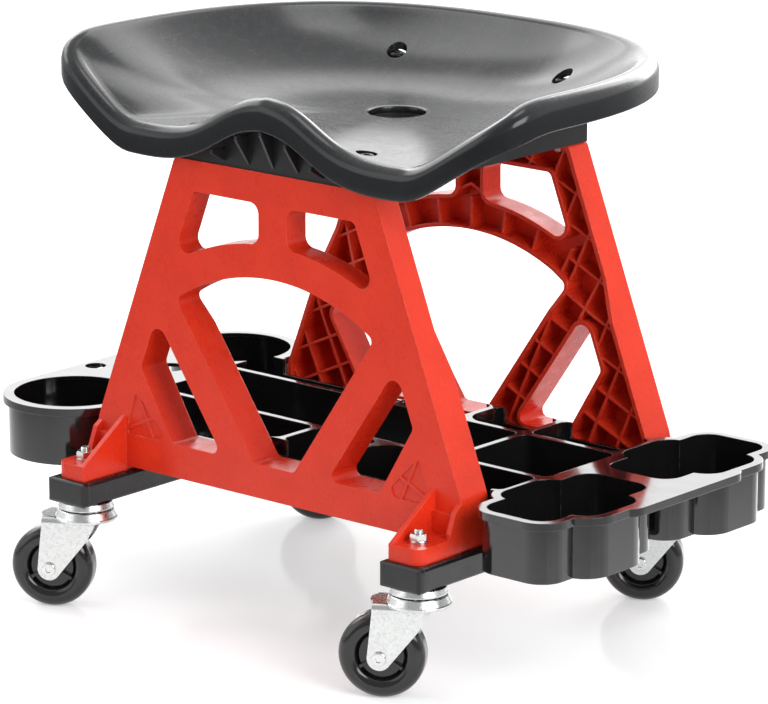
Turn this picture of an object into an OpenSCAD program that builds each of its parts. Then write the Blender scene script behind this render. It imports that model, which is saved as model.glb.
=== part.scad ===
// Creeper seat: a dished seat on two ribbed side panels, with a moulded tool tray
// between them, on two steel rails that roll on four swivel casters.
// The origin lies on the floor under the middle of the part, and the front looks along -Y.

/* [Rails] */
// Distance from the middle of a rail to the panels' outer edge
rail_inset = 12; // [8:0.5:16]
// Width of a rail
rail_w = 32; // [28:0.5:34]
// Height of a rail
rail_h = 16; // [12:0.5:24]
// Wall of a rail
rail_wall = 1.6; // [1.2:0.1:2.5]
// Outer corner radius of a rail
rail_corner = 2.5; // [1.8:0.1:4]
// Length of a rail with its end caps
rail_length = 290; // [284:1:330]
// Thickness of an end cap outside the rail
cap_t = 5; // [3:0.5:8]
// Depth of an end cap's plug inside the rail
cap_plug = 8; // [5:0.5:12]
// Wall of an end cap's plug
cap_wall = 1.6; // [1.2:0.1:2.4]

/* [Side panels] */
// Distance from the middle of the part to a panel's outer face
panel_y = 102; // [98:0.5:106]
// Height of a panel above the rails
panel_h = 208.8; // [195:0.2:230]
// Half width of a panel at its top
panel_top_half = 81; // [76:0.5:88]
// Half width of a panel at its feet
panel_foot_half = 150; // [148:0.5:151]
// Height of the knee, below which the sides drop straight
panel_knee_h = 31; // [24:0.5:40]
// Height of a panel's lower edge above the rails
panel_lift = 3; // [1:0.5:6]
// Corner radius of the panel at its feet and its top
panel_corner = 4; // [3.5:0.5:8]
// Thickness of a panel's face
face_t = 3; // [2:0.1:4]
// Thickness of the flange round a panel
flange_t = 3; // [2:0.1:4]
// Depth of a panel above the step
depth_top = 19; // [17:0.5:22]
// Depth of a panel below the step
depth_foot = 24.5; // [22:0.5:25]
// Height at which the step in depth begins
step_low_h = 102; // [90:1:110]
// Height at which the step in depth ends
step_high_h = 127; // [115:1:140]

/* [Openings in a panel] */
// Width of the frame left along a panel's sloping sides
frame_w = 21.3; // [18:0.1:24]
// Width of the rail left along a panel's top
top_rail_w = 19.5; // [16:0.5:22]
// Radius of the arch under the windows
arch_r = 147; // [142:0.5:152]
// Height of the crown of the arch above the rails
crown_h = 143.2; // [138:0.2:148]
// Width of the arched band between the arch and the windows
band_w = 21; // [18:0.5:24]
// Height of the openings' sills above the rails
sill_h = 24.5; // [22:0.5:28]
// Half width of the middle opening at its sill
sill_half = 16.4; // [12:0.1:20]
// Half width of the middle opening at its widest
spring_half = 79.3; // [74:0.1:84]
// Height of the middle opening's widest place
spring_h = 116; // [110:0.5:122]
// Width of the diagonal strut beside the middle opening
strut_w = 22.3; // [18:0.1:26]
// Half width of the bar between the windows
mullion_half = 11.5; // [9:0.5:14]
// Distance from the middle to the outer end of a lower window's sill
brace_half = 85.5; // [80:0.5:92]
// Height of a lower window's outer corner
brace_h = 69.5; // [64:0.5:76]
// Corner radius of the openings' sharp corners
corner_small = 4.5; // [3:0.5:6]
// Corner radius of the windows' wide corners
corner_wide = 7; // [5:0.5:9]
// Wall round each opening
wall_t = 2.6; // [2:0.1:3.4]
// How far the openings' walls end short of the flange
wall_back = 1.5; // [0.5:0.5:3]
// Depth of the sunk triangle near each foot
recess_depth = 1; // [0.5:0.1:1.5]

/* [Lattice ribs] */
// Thickness of a rib
rib_t = 1.8; // [1.4:0.1:2.4]
// Distance between the ribs of the square lattice
rib_pitch = 20; // [16:0.5:26]
// Angle of the lattice to the panel's edge
rib_turn = 24.5; // [15:0.5:35]
// How far the ribs end short of the flange
rib_back = 3.5; // [2:0.5:6]
// Angle between the ribs of the arched band
band_rib_deg = 9.85; // [7:0.05:14]

/* [Feet] */
// Width of a foot
foot_w = 24; // [22:0.5:26]
// Reach of a foot outside the panel's face
foot_reach = 39; // [36:0.5:41]
// Thickness of a foot
foot_t = 10; // [7:0.5:13]
// Corner radius of a foot
foot_corner = 8; // [5:0.5:10]
// Thickness of a foot's gussets
gusset_t = 3.5; // [2.5:0.1:4.5]
// Height of the long gusset above the rails
gusset_h = 36; // [30:0.5:42]
// Height of the short gusset above the rails
gusset_short_h = 29.5; // [24:0.5:33]
// Reach of the short gusset
gusset_short_reach = 10; // [7:0.5:13]

/* [Tool tray] */
// Half length of the tray
tray_half = 243.5; // [240:0.5:250]
// Half width of the tray between the panels
tray_mid_half = 76.5; // [70:0.5:76.7]
// Height of the tray's rim above the rails
rim_h = 34; // [30:0.5:44]
// Depth of the tray's floor below the top of the rails
floor_drop = 4; // [2:0.5:8]
// Wall of the tray
tray_wall = 2.5; // [2:0.1:3.2]
// Height of the tray's long walls under the panels
long_wall_h = 23.5; // [18:0.5:24]
// Depth of the lip that turns down round the rim
lip_depth = 5; // [3:0.5:8]
// Inner radius of a cup's mouth
cup_r = 38.5; // [34:0.5:39.5]
// Width of the rolled rim round a cup
cup_rim_w = 7; // [5:0.5:7.5]
// Distance from the middle to a cup's centre across the part
cup_y = 76; // [72:0.5:84]
// Where the tray's middle part ends at the cups
mid_left = 166; // [160:0.5:168]
// Where the tray's middle part ends at the pockets
mid_right = 160; // [158:0.5:161]
// Thickness of the dividers
divider_t = 4; // [3:0.5:5]
// Distance from the middle to the dividers that run along the tray
divider_y = 36; // [30:0.5:42]
// Place of the first cross divider in the outer rows
divider_a = -21; // [-40:0.5:-10]
// Place of the second cross divider in the outer rows
divider_b = 32; // [20:0.5:45]
// Place of the cross divider that runs right over the tray
divider_c = 86; // [75:0.5:96]
// Corner radius of the compartments
cell_corner = 6; // [3:0.5:8]
// Corner radius of the one compartment with a wide corner
cell_wide_corner = 15; // [10:0.5:18]
// Inner edge of a pocket's wide part
pocket_in = 159; // [158.5:0.5:161]
// Outer edge of a pocket's wide part
pocket_out = 234; // [230:0.5:236]
// Corner radius of a pocket's wide part
pocket_corner = 15; // [10:0.5:20]
// Half length of a pocket's wide part
pocket_wide_half = 27; // [22:0.5:32]
// Inner edge of a pocket's long part
pocket_long_in = 170; // [166:0.5:176]
// Outer edge of a pocket's long part
pocket_long_out = 221; // [214:0.5:226]
// Half length of a pocket's long part
pocket_long_half = 52; // [46:0.5:54]
// Corner radius of a pocket's long part
pocket_long_corner = 13; // [8:0.5:18]
// Distance from the middle to a pocket's centre across the part
pocket_y = 59; // [56:0.5:62]
// Width of the rim round a pocket
pocket_rim_w = 5.5; // [4:0.5:5.5]
// Half length of the straight edge at the pockets' end
web_half = 58; // [40:1:62]
// Corner radius of the straight edge's ends
web_corner = 12; // [6:1:16]
// Radius of the small tool hole in the rim
tool_hole_small_r = 7; // [5:0.5:8]
// Radius of the wide tool hole in the rim
tool_hole_wide_r = 11; // [8:0.5:12]

/* [Seat] */
// Half width of the seat at its crest
seat_half_w = 179.8; // [170:0.2:190]
// Reach of the crest in front of the seat's widest line
seat_front = 50; // [46:0.5:54]
// Reach of the crest behind the seat's widest line
seat_rear = 188.5; // [180:0.5:196]
// How far the seat's widest line lies in front of the middle
seat_line = 54.8; // [50:0.2:60]
// Height of the crest at the front above the panels
pommel_h = 48.6; // [44:0.2:54]
// Height of the crest at the sides above the panels
side_h = 65.5; // [58:0.5:75]
// Depth of the dips for the legs
leg_dip = 42.4; // [34:0.2:44]
// Direction of the legs' dips, from the front
leg_deg = 65.7; // [62:0.1:69]
// Spread of a dip toward the front, in degrees
dip_inner_deg = 33.3; // [28:0.1:36]
// Spread of a dip toward the side, in degrees
dip_outer_deg = 8.8; // [7:0.1:12]
// Height of the bottom of the dish above the panels
bowl_h = 21.2; // [18:0.2:23]
// How far the bottom of the dish lies behind the middle
bowl_y = 14; // [8:0.5:20]
// Thickness of the seat's shell
shell_t = 4; // [3:0.1:5]
// Radius of the rolled rim
roll_r = 8.1; // [6.5:0.1:10]
// Height of the rim's skirt below the crest
skirt_h = 19.75; // [15:0.25:19.75]
// Radius of the hole in the middle of the seat
centre_hole_r = 18; // [14:0.5:22]

/* [Seat base] */
// Half width of the ribbed base under the seat
base_half = 82; // [76:0.5:86]
// How far the base ends short of the panels' faces
base_back = 1; // [0.5:0.5:4]
// Wall of the base
base_wall = 3; // [2.4:0.1:4]
// Thickness of the base's ribs
base_rib_t = 2; // [1.6:0.1:3]
// Distance between the base's ribs
base_pitch = 20; // [16:0.5:26]
// Distance from the middle to the seat screws along the panels
screw_x = 68; // [60:0.5:70]
// How far the seat screws lie inside the panels' faces
screw_in = 9; // [8:0.5:11]
// Radius of the recess over a seat screw
screw_well_r = 6.5; // [5.8:0.1:8]

/* [Casters] */
// Distance from the middle of the part to a caster's pivot along the rails
caster_y = 126.7; // [122:0.1:134]
// Radius of a wheel
wheel_r = 26.5; // [26:0.25:28]
// Width of a wheel
wheel_w = 20; // [17:0.5:21]
// Rounding of a wheel's tread
tread_round = 6.5; // [4:0.5:7]
// Distance from the pivot to the wheel's axle
trail = 21.5; // [20:0.1:23]
// Direction in which the casters trail, as the photograph shows it
swivel_deg = 209.5; // [0:0.1:359]
// Half width over a fork's cheeks
cheek_half = 13.5; // [13:0.1:15]
// Thickness of a fork
fork_t = 2.2; // [1.8:0.1:2.6]
// Gap between the wheel and the fork's crown
crown_gap = 5.3; // [4:0.1:7]
// Outer bend radius of the fork
fork_bend = 3.6; // [3:0.1:5]
// Radius of the round plate on the fork's crown
crown_r = 20; // [19:0.1:21]
// Radius of the balls' seats where they face each other
head_r = 17.8; // [17:0.1:18.6]
// Height of the cone on the crown that carries the balls
head_h = 4.4; // [4:0.1:6]
// Gap between the fork's head and the upper race
race_gap = 0.8; // [0.5:0.1:1]
// Height of the upper race
race_h = 4.3; // [3.6:0.1:6]
// Radius of the upper race under the rail
race_top_r = 16.8; // [15.5:0.1:17]
// Radius of the balls
ball_r = 1.6; // [1.3:0.1:1.8]
// Radius of the ring of balls
ball_ring_r = 12.5; // [11.5:0.1:13]
// Number of balls in a race
ball_count = 16; // [10:1:18]
// Radius of the axle
axle_r = 3; // [2.5:0.1:4]
// Radius of the sleeve on the axle
sleeve_r = 5; // [4.5:0.1:6]
// Radius of a wheel's hub
hub_r = 8; // [7:0.5:9]
// Inner radius of the flat ring on a wheel's face
ring_r = 19; // [16:0.5:19.5]
// Depth of the recess in a wheel's face
dish_depth = 5; // [3:0.5:7]
// Number of spokes on a wheel's face
spoke_count = 3; // [3:1:10]

/* [Fasteners] */
// Radius of a caster's threaded stem
stem_r = 3; // [2.5:0.1:4]
// Radius of a caster's pivot under its head
pivot_r = 4; // [3.6:0.1:4.4]
// Radius of the head under a caster's pivot
pivot_head_r = 5; // [4.7:0.1:5.2]
// Width across the flats of a stem's nut
stem_nut_af = 10; // [9:0.5:13]
// Height of a stem's nut
stem_nut_h = 4.5; // [3:0.1:6]
// Radius of the washer on a foot
washer_r = 6; // [5:0.1:7]
// Thickness of the washer on a foot
washer_t = 1.5; // [1:0.1:2]
// Length of a stem above its nut
stem_end = 2.5; // [1:0.1:5]
// Radius of a seat screw
seat_screw_r = 2.5; // [2:0.1:3]
// Radius of a seat screw's head
seat_head_r = 4.6; // [4:0.1:5.2]
// Height of a seat screw's head
seat_head_h = 2.6; // [1.8:0.1:3]
// Width across the flats of a seat screw's nut
seat_nut_af = 8; // [7:0.1:9]
// Height of a seat screw's nut
seat_nut_h = 4; // [3:0.1:4.8]
// Radius of a tray screw
tray_screw_r = 2.1; // [1.7:0.1:2.6]
// Radius of a tray screw's head
tray_head_r = 4; // [3.5:0.1:5]
// Distance from the middle to a tray screw along a rail
tray_screw_y = 60; // [50:0.5:65]
// Radius of an axle's head
axle_head_r = 4.4; // [4:0.1:6]
// Height of an axle's head
axle_head_h = 1.8; // [1.2:0.1:2.4]
// Width across the flats of an axle's nut
axle_nut_af = 10; // [9:0.1:11]
// Height of an axle's nut
axle_nut_h = 4.4; // [3:0.1:5]

/* [Hidden] */

// Overrun of every cut
over = 1;
// Running clearance of a shaft in its bore
run_gap = 0.05;
// Clearance between pieces that only rest on each other
rest_gap = 0.3;
// Clearance of a screw or stem in its hole
hole_gap = 0.3;
// Chamfer of stems and screw ends
tip_chamfer = 0.6;
// Length of a seat screw past its nut
screw_end = 1.2;
// Smallest fillet
small_fillet = 1;
// Excess of a corner's circle over its fillet, so that the circle and the slanted edges cross cleanly
swell = 0.02;
$fn = 96;

// Distance from the middle of the part to the middle of a rail
rail_x = panel_foot_half - rail_inset;

// Heights above the floor
fork_top = 2 * wheel_r + crown_gap + fork_t;
head_top = fork_top + head_h;
race_z = head_top + race_gap;
rail_z = race_z + race_h;
rail_top = rail_z + rail_h;
seat_z = rail_top + panel_h;
ball_z = head_top + race_gap / 2;

// The part's reach to the front and rear
turn_y = abs(sin(swivel_deg));
across_y = abs(cos(swivel_deg));
front_reach = caster_y + trail * turn_y + (wheel_r - tread_round) * turn_y
    + (wheel_w / 2 - tread_round) * across_y + tread_round;
rear_reach = max(caster_y + crown_r, rail_length / 2);
stand_y = (front_reach - rear_reach) / 2;

// The outline of the fork's cheek, along the trail and up from the axle
cheek_rear = 26;
cheek_eye_r = 7.4;
cheek_neck = 2;
cheek_neck_rise = 17.7;
cheek_lead = 7.2;
cheek_lead_rise = 26.8;
cheek_turn_share = 0.77;
cheek_rise_share = 0.63;
// How far the crown's rear end bulges past the cheeks
crown_bulge = 3;

module at_rest() {
    translate([0, stand_y, 0]) children();
}

module both_sides() {
    children();
    mirror([1, 0, 0]) children();
}

module front_and_rear() {
    children();
    rotate([0, 0, 180]) children();
}

// Flat outlines with rounded corners

function unit(v) = v / norm(v);

// The corners of a convex outline, listed anticlockwise, moved outward by g
function grown(pts, g) = [for (i = [0:len(pts) - 1])
    let (n = len(pts), p = pts[(i + n - 1) % n], q = pts[i], r = pts[(i + 1) % n],
        a = unit(q - p), b = unit(r - q), na = [a.y, -a.x], nb = [b.y, -b.x])
    q + g * (na + nb) / (1 + na * nb)];

module soft_polygon(pts, radii, more = 0) {
    n = len(pts);
    corners = [for (i = [0:n - 1])
        let (q = pts[i], u = unit(pts[(i + n - 1) % n] - q), v = unit(pts[(i + 1) % n] - q),
            half = acos(u * v) / 2)
        [q, u, v, half]];
    polygon([for (i = [0:n - 1])
        let (c = corners[i], t = radii[i] / tan(c[3]))
        each radii[i] > 0 ? [c[0] + c[1] * t, c[0] + c[2] * t] : [c[0]]]);
    for (i = [0:n - 1])
        if (radii[i] > 0)
            translate(corners[i][0] + unit(corners[i][1] + corners[i][2]) * radii[i] / sin(corners[i][3]))
                circle(r = radii[i] + more);
}

module soft_box(x0, y0, x1, y1, r) {
    soft_polygon([[x0, y0], [x1, y0], [x1, y1], [x0, y1]], [r, r, r, r]);
}

// The sliver that a fillet of radius r about c leaves beyond its tangent points t1 and t2
module fillet_cut(k, t1, t2, c, r) {
    difference() {
        polygon([t1, k + (k - c) / 2, t2, c]);
        translate(c) circle(r = r + swell);
    }
}

// Lifts a flat outline in X and Z to a slab that runs from y0 to y1
module slab(y0, y1) {
    translate([0, y1, 0]) rotate([90, 0, 0]) linear_extrude(y1 - y0) children();
}

// Side panels, drawn with the outer face at Y 0, the depth along +Y and Z 0 at the rails

arch_z = crown_h - arch_r;
edge_lean = (panel_foot_half - panel_top_half) / (panel_h - panel_knee_h);
edge_len = sqrt(1 + edge_lean * edge_lean);
side_lean = (spring_half - sill_half) / (spring_h - sill_h);
side_len = sqrt(1 + side_lean * side_lean);

// Where the line x + m z = k meets the circle of radius q about the arch's centre, the upper place
function meet(k, m, q) =
    let (a = 1 + m * m, b = k * m + arch_z, c = k * k + arch_z * arch_z - q * q,
        z = (b + sqrt(b * b - a * c)) / a)
    [k - m * z, z];

function toward(c, q) = [0, arch_z] + unit(c - [0, arch_z]) * q;

module panel_outline(g = 0) {
    pts = [[-panel_foot_half, panel_lift], [panel_foot_half, panel_lift],
        [panel_foot_half, panel_knee_h], [panel_top_half, panel_h],
        [-panel_top_half, panel_h], [-panel_foot_half, panel_knee_h]];
    r = max(panel_corner + g, 0);
    soft_polygon(grown(pts, g), [r, r, 4 * r, r, r, 4 * r], swell);
}

// The middle opening: straight sides that lean out to an arch
module arch_opening(g = 0) {
    k = sill_half - side_lean * sill_h + g * side_len;
    low = sill_h - g;
    high = crown_h + over;
    r = corner_small + g;
    q = arch_r + g;
    c = meet(k - r * side_len, -side_lean, q - r);
    difference() {
        intersection() {
            soft_polygon([[-k - side_lean * low, low], [k + side_lean * low, low],
                [k + side_lean * high, high], [-k - side_lean * high, high]], [r, r, 0, 0], swell);
            translate([0, arch_z]) circle(r = q);
        }
        both_sides()
            fillet_cut(meet(k, -side_lean, q), c + [1, -side_lean] * r / side_len, toward(c, q), c, r);
    }
}

// A window above the arch, on the side of +X
module upper_window(g = 0) {
    k = panel_foot_half + edge_lean * panel_knee_h - frame_w * edge_len + g * edge_len;
    x0 = mullion_half - g;
    high = panel_h - top_rail_w + g;
    low = arch_z;
    q = arch_r + band_w - g;
    r = corner_wide + g;
    inner = [x0 + r, arch_z + sqrt((q + r) * (q + r) - (x0 + r) * (x0 + r))];
    outer = meet(k - r * edge_len, edge_lean, q + r);
    difference() {
        soft_polygon([[x0, low], [k - edge_lean * low, low], [k - edge_lean * high, high], [x0, high]],
            [0, 0, corner_small + g, r], swell);
        translate([0, arch_z]) circle(r = q);
        fillet_cut([x0, arch_z + sqrt(q * q - x0 * x0)], [x0, inner.y], toward(inner, q), inner, r);
        fillet_cut(meet(k, edge_lean, q), outer + [1, edge_lean] * r / edge_len,
            toward(outer, q), outer, r);
    }
}

// A window between the diagonal strut, the sill and the panel's side, on the side of +X
module lower_window(g = 0) {
    in_k = sill_half - side_lean * sill_h + strut_w * side_len;
    out_k = panel_foot_half + edge_lean * panel_knee_h - frame_w * edge_len;
    top_z = (out_k - in_k) / (side_lean + edge_lean);
    pts = [[in_k + side_lean * sill_h, sill_h], [brace_half, sill_h],
        [out_k - edge_lean * brace_h, brace_h], [in_k + side_lean * top_z, top_z]];
    r = corner_small + g;
    soft_polygon(grown(pts, g), [r, r, r, corner_wide + g], swell);
}

module panel_openings(g = 0) {
    arch_opening(g);
    both_sides() {
        upper_window(g);
        lower_window(g);
    }
}

// The sunk triangle between a lower window and the panel's foot
recess_top = [117, 53];
recess_foot_in = 89;
recess_foot_out = 126;
module foot_recess() {
    soft_polygon([[recess_foot_in, sill_h], [recess_foot_out, sill_h], recess_top],
        [corner_small, corner_small / 2, corner_small / 2], swell);
}

// Cuts a slab to the panel's depth, which steps between the top and the feet
module to_depth(back = 0) {
    intersection() {
        slab(0, depth_foot + over) children();
        rotate([90, 0, 90]) linear_extrude(2 * panel_foot_half + 2 * over, center = true)
            polygon([[-over, -over], [depth_foot - back, -over], [depth_foot - back, step_low_h],
                [depth_top - back, step_high_h], [depth_top - back, panel_h + over],
                [-over, panel_h + over]]);
    }
}

// Ribs: a square lattice turned against the panel, mirrored about its middle
lattice_start = 17;
lattice_side_start = 3.4;
module lattice() {
    reach = panel_h + panel_foot_half;
    both_sides() intersection() {
        square([panel_foot_half, panel_h]);
        rotate(-rib_turn) {
            for (s = [lattice_start - 2 * rib_pitch : rib_pitch : reach])
                translate([-reach, s - rib_t / 2]) square([2 * reach, rib_t]);
            for (s = [lattice_side_start - 6 * rib_pitch : rib_pitch : reach])
                translate([s - rib_t / 2, -reach]) square([rib_t, 2 * reach]);
        }
    }
}

module band_ribs() {
    for (i = [-3:3])
        translate([0, arch_z]) rotate(band_rib_deg * i)
            translate([-rib_t / 2, arch_r]) square([rib_t, band_w]);
}

// The part of the panel that the arched band takes
module band_zone() {
    intersection() {
        translate([0, arch_z]) circle(r = arch_r + band_w);
        translate([-spring_half, spring_h]) square([2 * spring_half, panel_h - spring_h]);
    }
}

module panel_ribs() {
    difference() {
        intersection() {
            union() {
                difference() {
                    lattice();
                    band_zone();
                }
                band_ribs();
            }
            panel_outline(-flange_t / 2);
        }
        panel_openings(wall_t / 2);
    }
}

module foot() {
    x0 = rail_x - foot_w / 2;
    x1 = rail_x + foot_w / 2;
    linear_extrude(foot_t)
        soft_polygon([[x0, -foot_reach], [x1, -foot_reach], [x1, depth_foot], [x0, depth_foot]],
            [small_fillet, foot_corner, small_fillet, small_fillet]);
    translate([x0, 0, 0]) rotate([90, 0, 90]) linear_extrude(gusset_t)
        polygon([[-foot_reach + small_fillet, foot_t / 2], [0, foot_t / 2], [0, gusset_h],
            [-foot_reach + small_fillet, foot_t]]);
    translate([x1 - gusset_t, 0, 0]) rotate([90, 0, 90]) linear_extrude(gusset_t)
        polygon([[-gusset_short_reach, foot_t / 2], [0, foot_t / 2], [0, gusset_short_h],
            [-gusset_short_reach / 2, gusset_short_h - gusset_t],
            [-gusset_short_reach, foot_t + gusset_t]]);
    translate([x0, -gusset_t, foot_t / 2])
        cube([foot_w, gusset_t + face_t / 2, sill_h - foot_t / 2 - small_fillet]);
}

module panel() {
    difference() {
        union() {
            difference() {
                slab(0, face_t) difference() {
                    panel_outline();
                    panel_openings();
                }
                both_sides() slab(-over, recess_depth) foot_recess();
            }
            to_depth() difference() {
                panel_outline();
                panel_outline(-flange_t);
            }
            to_depth(wall_back) intersection() {
                difference() {
                    panel_openings(wall_t);
                    panel_openings();
                }
                panel_outline();
            }
            difference() {
                to_depth(rib_back) panel_ribs();
                both_sides() translate([screw_x, screw_in, panel_h - flange_t - seat_nut_h - over])
                    cylinder(r = seat_nut_af, h = seat_nut_h + over);
            }
            both_sides() foot();
        }
        both_sides() {
            translate([screw_x, screw_in, panel_h - flange_t - over])
                cylinder(r = seat_screw_r + hole_gap, h = flange_t + 2 * over);
            translate([rail_x, panel_y - caster_y, -over])
                cylinder(r = stem_r + hole_gap, h = foot_t + 2 * over);
        }
    }
}

module front_panel() {
    color("#d9432f") translate([0, -panel_y, rail_top]) panel();
}

module rear_panel() {
    color("#d9432f") rotate([0, 0, 180]) translate([0, -panel_y, rail_top]) panel();
}

// Rails, drawn in the middle of the part

module rail_outline(g = 0) {
    soft_box(-rail_w / 2 - g, -g, rail_w / 2 + g, rail_h + g, max(rail_corner + g, rail_corner / 4));
}

module rail() {
    len = rail_length - 2 * cap_t;
    difference() {
        slab(-len / 2, len / 2) difference() {
            rail_outline();
            rail_outline(-rail_wall);
        }
        for (y = [-caster_y, caster_y])
            translate([0, y, -over]) cylinder(r = stem_r + hole_gap, h = rail_h + 2 * over);
        for (y = [-tray_screw_y, tray_screw_y])
            translate([0, y, rail_h / 2]) cylinder(r = tray_screw_r + run_gap, h = rail_h);
    }
}

module left_rail() {
    color("#1c1c1e") translate([-rail_x, 0, rail_z]) rail();
}

module right_rail() {
    color("#1c1c1e") translate([rail_x, 0, rail_z]) rail();
}

module rail_end_cap() {
    len = rail_length / 2;
    intersection() {
        slab(len - cap_t, len) rail_outline();
        translate([-rail_w / 2, 0, 0]) linear_extrude(rail_h)
            soft_polygon([[0, 0], [rail_w, 0], [rail_w, len], [0, len]],
                [0, 0, rail_corner, rail_corner]);
        translate([-rail_w / 2, 0, 0]) rotate([90, 0, 90]) linear_extrude(rail_w)
            soft_polygon([[0, 0], [len, 0], [len, rail_h], [0, rail_h]],
                [0, rail_corner, rail_corner, 0]);
    }
    slab(len - cap_t - cap_plug, len - cap_t) difference() {
        rail_outline(-rail_wall - run_gap);
        rail_outline(-rail_wall - run_gap - cap_wall);
    }
}

module rail_end_caps() {
    color("#141415")
        for (x = [-rail_x, rail_x])
            translate([x, 0, rail_z]) front_and_rear() rail_end_cap();
}

// Tool tray, drawn with Z 0 at the top of the rails

cup_x = tray_half - cup_r - cup_rim_w;
cup_bead = 1;
rim_t = tray_wall;
tray_floor = tray_wall - floor_drop;
mid_end = mid_right + tray_wall;

module pocket(g = 0) {
    soft_box(pocket_in - g, pocket_y - pocket_wide_half - g,
        pocket_out + g, pocket_y + pocket_wide_half + g, pocket_corner + g);
    soft_box(pocket_long_in - g, pocket_y - pocket_long_half - g,
        pocket_long_out + g, pocket_y + pocket_long_half + g, pocket_long_corner + g);
}

module pockets(g = 0) {
    pocket(g);
    mirror([0, 1]) pocket(g);
}

module cups(r) {
    for (y = [-cup_y, cup_y]) translate([-cup_x, y]) circle(r = r);
}

// The rim's outline at both ends of the tray
module rim_outline(g = 0) {
    cups(cup_r + cup_rim_w + g);
    translate([-tray_half - g, -cup_y]) square([tray_half - mid_left + tray_wall + 2 * g, 2 * cup_y]);
    pockets(pocket_rim_w + g);
    soft_box(mid_right - g, -web_half - g, tray_half + g, web_half + g, web_corner + g);
}

module cell(x0, y0, x1, y1, wide = 0) {
    r = cell_corner;
    soft_polygon([[x0, y0], [x1, y0], [x1, y1], [x0, y1]], [r, r, r, max(r, wide)]);
}

// The compartments between the panels
module cells() {
    d = divider_t / 2;
    out = tray_mid_half - tray_wall;
    row = divider_y - d;
    cell(-mid_left + divider_t, -row, divider_c - d, row);
    cell(divider_c + d, -row, mid_right, row);
    for (side = [0, 1]) mirror([0, side]) {
        cell(-mid_left, -out, divider_a - d, -row - divider_t);
        cell(divider_a + d, -out, divider_b - d, -row - divider_t);
        cell(divider_b + d, -out, divider_c - d, -row - divider_t, cell_wide_corner);
        cell(divider_c + d, -out, pocket_in - tray_wall, -row - divider_t);
    }
}

module mid_outline() {
    translate([-mid_left - tray_wall, -tray_mid_half])
        square([mid_left + tray_wall + mid_end, 2 * tray_mid_half]);
}

// The low part of the long walls, which passes under the panels' openings
module long_wall_cut() {
    wide = panel_foot_half + small_fillet;
    for (side = [0, 1]) mirror([0, side, 0])
        translate([-wide, -tray_mid_half - over, long_wall_h])
            cube([2 * wide, tray_wall + over, rim_h]);
}

module tray_shell() {
    difference() {
        union() {
            translate([0, 0, rim_h - rim_t]) linear_extrude(rim_t) rim_outline();
            translate([0, 0, rim_h - lip_depth]) linear_extrude(lip_depth) difference() {
                rim_outline();
                rim_outline(-tray_wall);
            }
            translate([0, 0, -floor_drop]) linear_extrude(rim_h + floor_drop) {
                mid_outline();
                pockets(tray_wall);
                cups(cup_r + cup_bead + tray_wall);
            }
        }
        translate([0, 0, tray_floor]) linear_extrude(rim_h + floor_drop) {
            cells();
            pockets();
            cups(cup_r);
        }
        translate([0, 0, tray_floor]) linear_extrude(rim_h - rim_t - tray_floor) cups(cup_r + cup_bead);
        long_wall_cut();
    }
}

// The raised floor over the rails
module saddles() {
    wide = rail_w / 2 + rest_gap + tray_wall;
    both_sides() translate([rail_x - wide, -tray_mid_half, -floor_drop])
        cube([2 * wide, 2 * tray_mid_half, floor_drop + tray_wall]);
}

module tool_tray() {
    wide = rail_w / 2 + rest_gap;
    color("#121214") translate([0, 0, rail_top]) difference() {
        union() {
            tray_shell();
            intersection() {
                saddles();
                translate([0, 0, -floor_drop]) linear_extrude(rim_h) mid_outline();
            }
        }
        both_sides() translate([rail_x - wide, -tray_half, -floor_drop - over])
            cube([2 * wide, 2 * tray_half, floor_drop + over]);
        for (x = [-rail_x, rail_x], y = [-tray_screw_y, tray_screw_y])
            translate([x, y, -over]) cylinder(r = tray_screw_r + hole_gap, h = tray_wall + 2 * over);
        translate([tool_hole_small_x, tool_hole_small_y, rim_h - rim_t - over])
            cylinder(r = tool_hole_small_r, h = rim_t + 2 * over);
        translate([tool_hole_wide_x, tool_hole_wide_y, rim_h - rim_t - over])
            cylinder(r = tool_hole_wide_r, h = rim_t + 2 * over);
    }
}

tool_hole_small_x = -tray_half + tray_wall + tool_hole_small_r + small_fillet;
tool_hole_small_y = -20;
tool_hole_shift = 5;
tool_hole_wide_x = -cup_x + tool_hole_shift;
tool_hole_wide_y = 9;

// Seat, drawn with Z 0 at the top of the panels

ease = function(t) (1 - cos(180 * min(max(t, 0), 1))) / 2;
front_power_share = 6.9;
rear_power_share = 2.5;
bowl_power_share = 3.2;
rear_rise_share = 0.003;
// Half the angle over which the rim's direction is measured
probe_deg = 0.2;
// How far the shell reaches into its hole before the hole is cut
hole_lap = 3;

// The crest of the rim, at the angle a from the front about the seat's widest line
function crest(a) =
    let (q = abs(a), front = q < 90, e = front ? front_power_share : rear_power_share,
        b = front ? seat_front : seat_rear,
        rad = pow(pow(abs(sin(a)) / seat_half_w, e) + pow(abs(cos(a)) / b, e), -1 / e),
        spread = q < leg_deg ? dip_inner_deg : dip_outer_deg,
        z = pommel_h + (side_h - pommel_h) * ease(q / 90)
            + side_h * rear_rise_share * ease((q - 90) / 90)
            - leg_dip * exp(-pow((q - leg_deg) / spread, 2)))
    [rad * sin(a), -seat_line - rad * cos(a), z];

// The angle at which the crest lies in the direction d from the middle of the dish
function heading(p) = atan2(p.x, bowl_y - p.y);
function crest_angle(d, lo = 0, hi = 180, n = 22) =
    n == 0 ? (lo + hi) / 2
    : let (mid = (lo + hi) / 2)
        heading(crest(mid)) < d ? crest_angle(d, mid, hi, n - 1) : crest_angle(d, lo, mid, n - 1);

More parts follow.
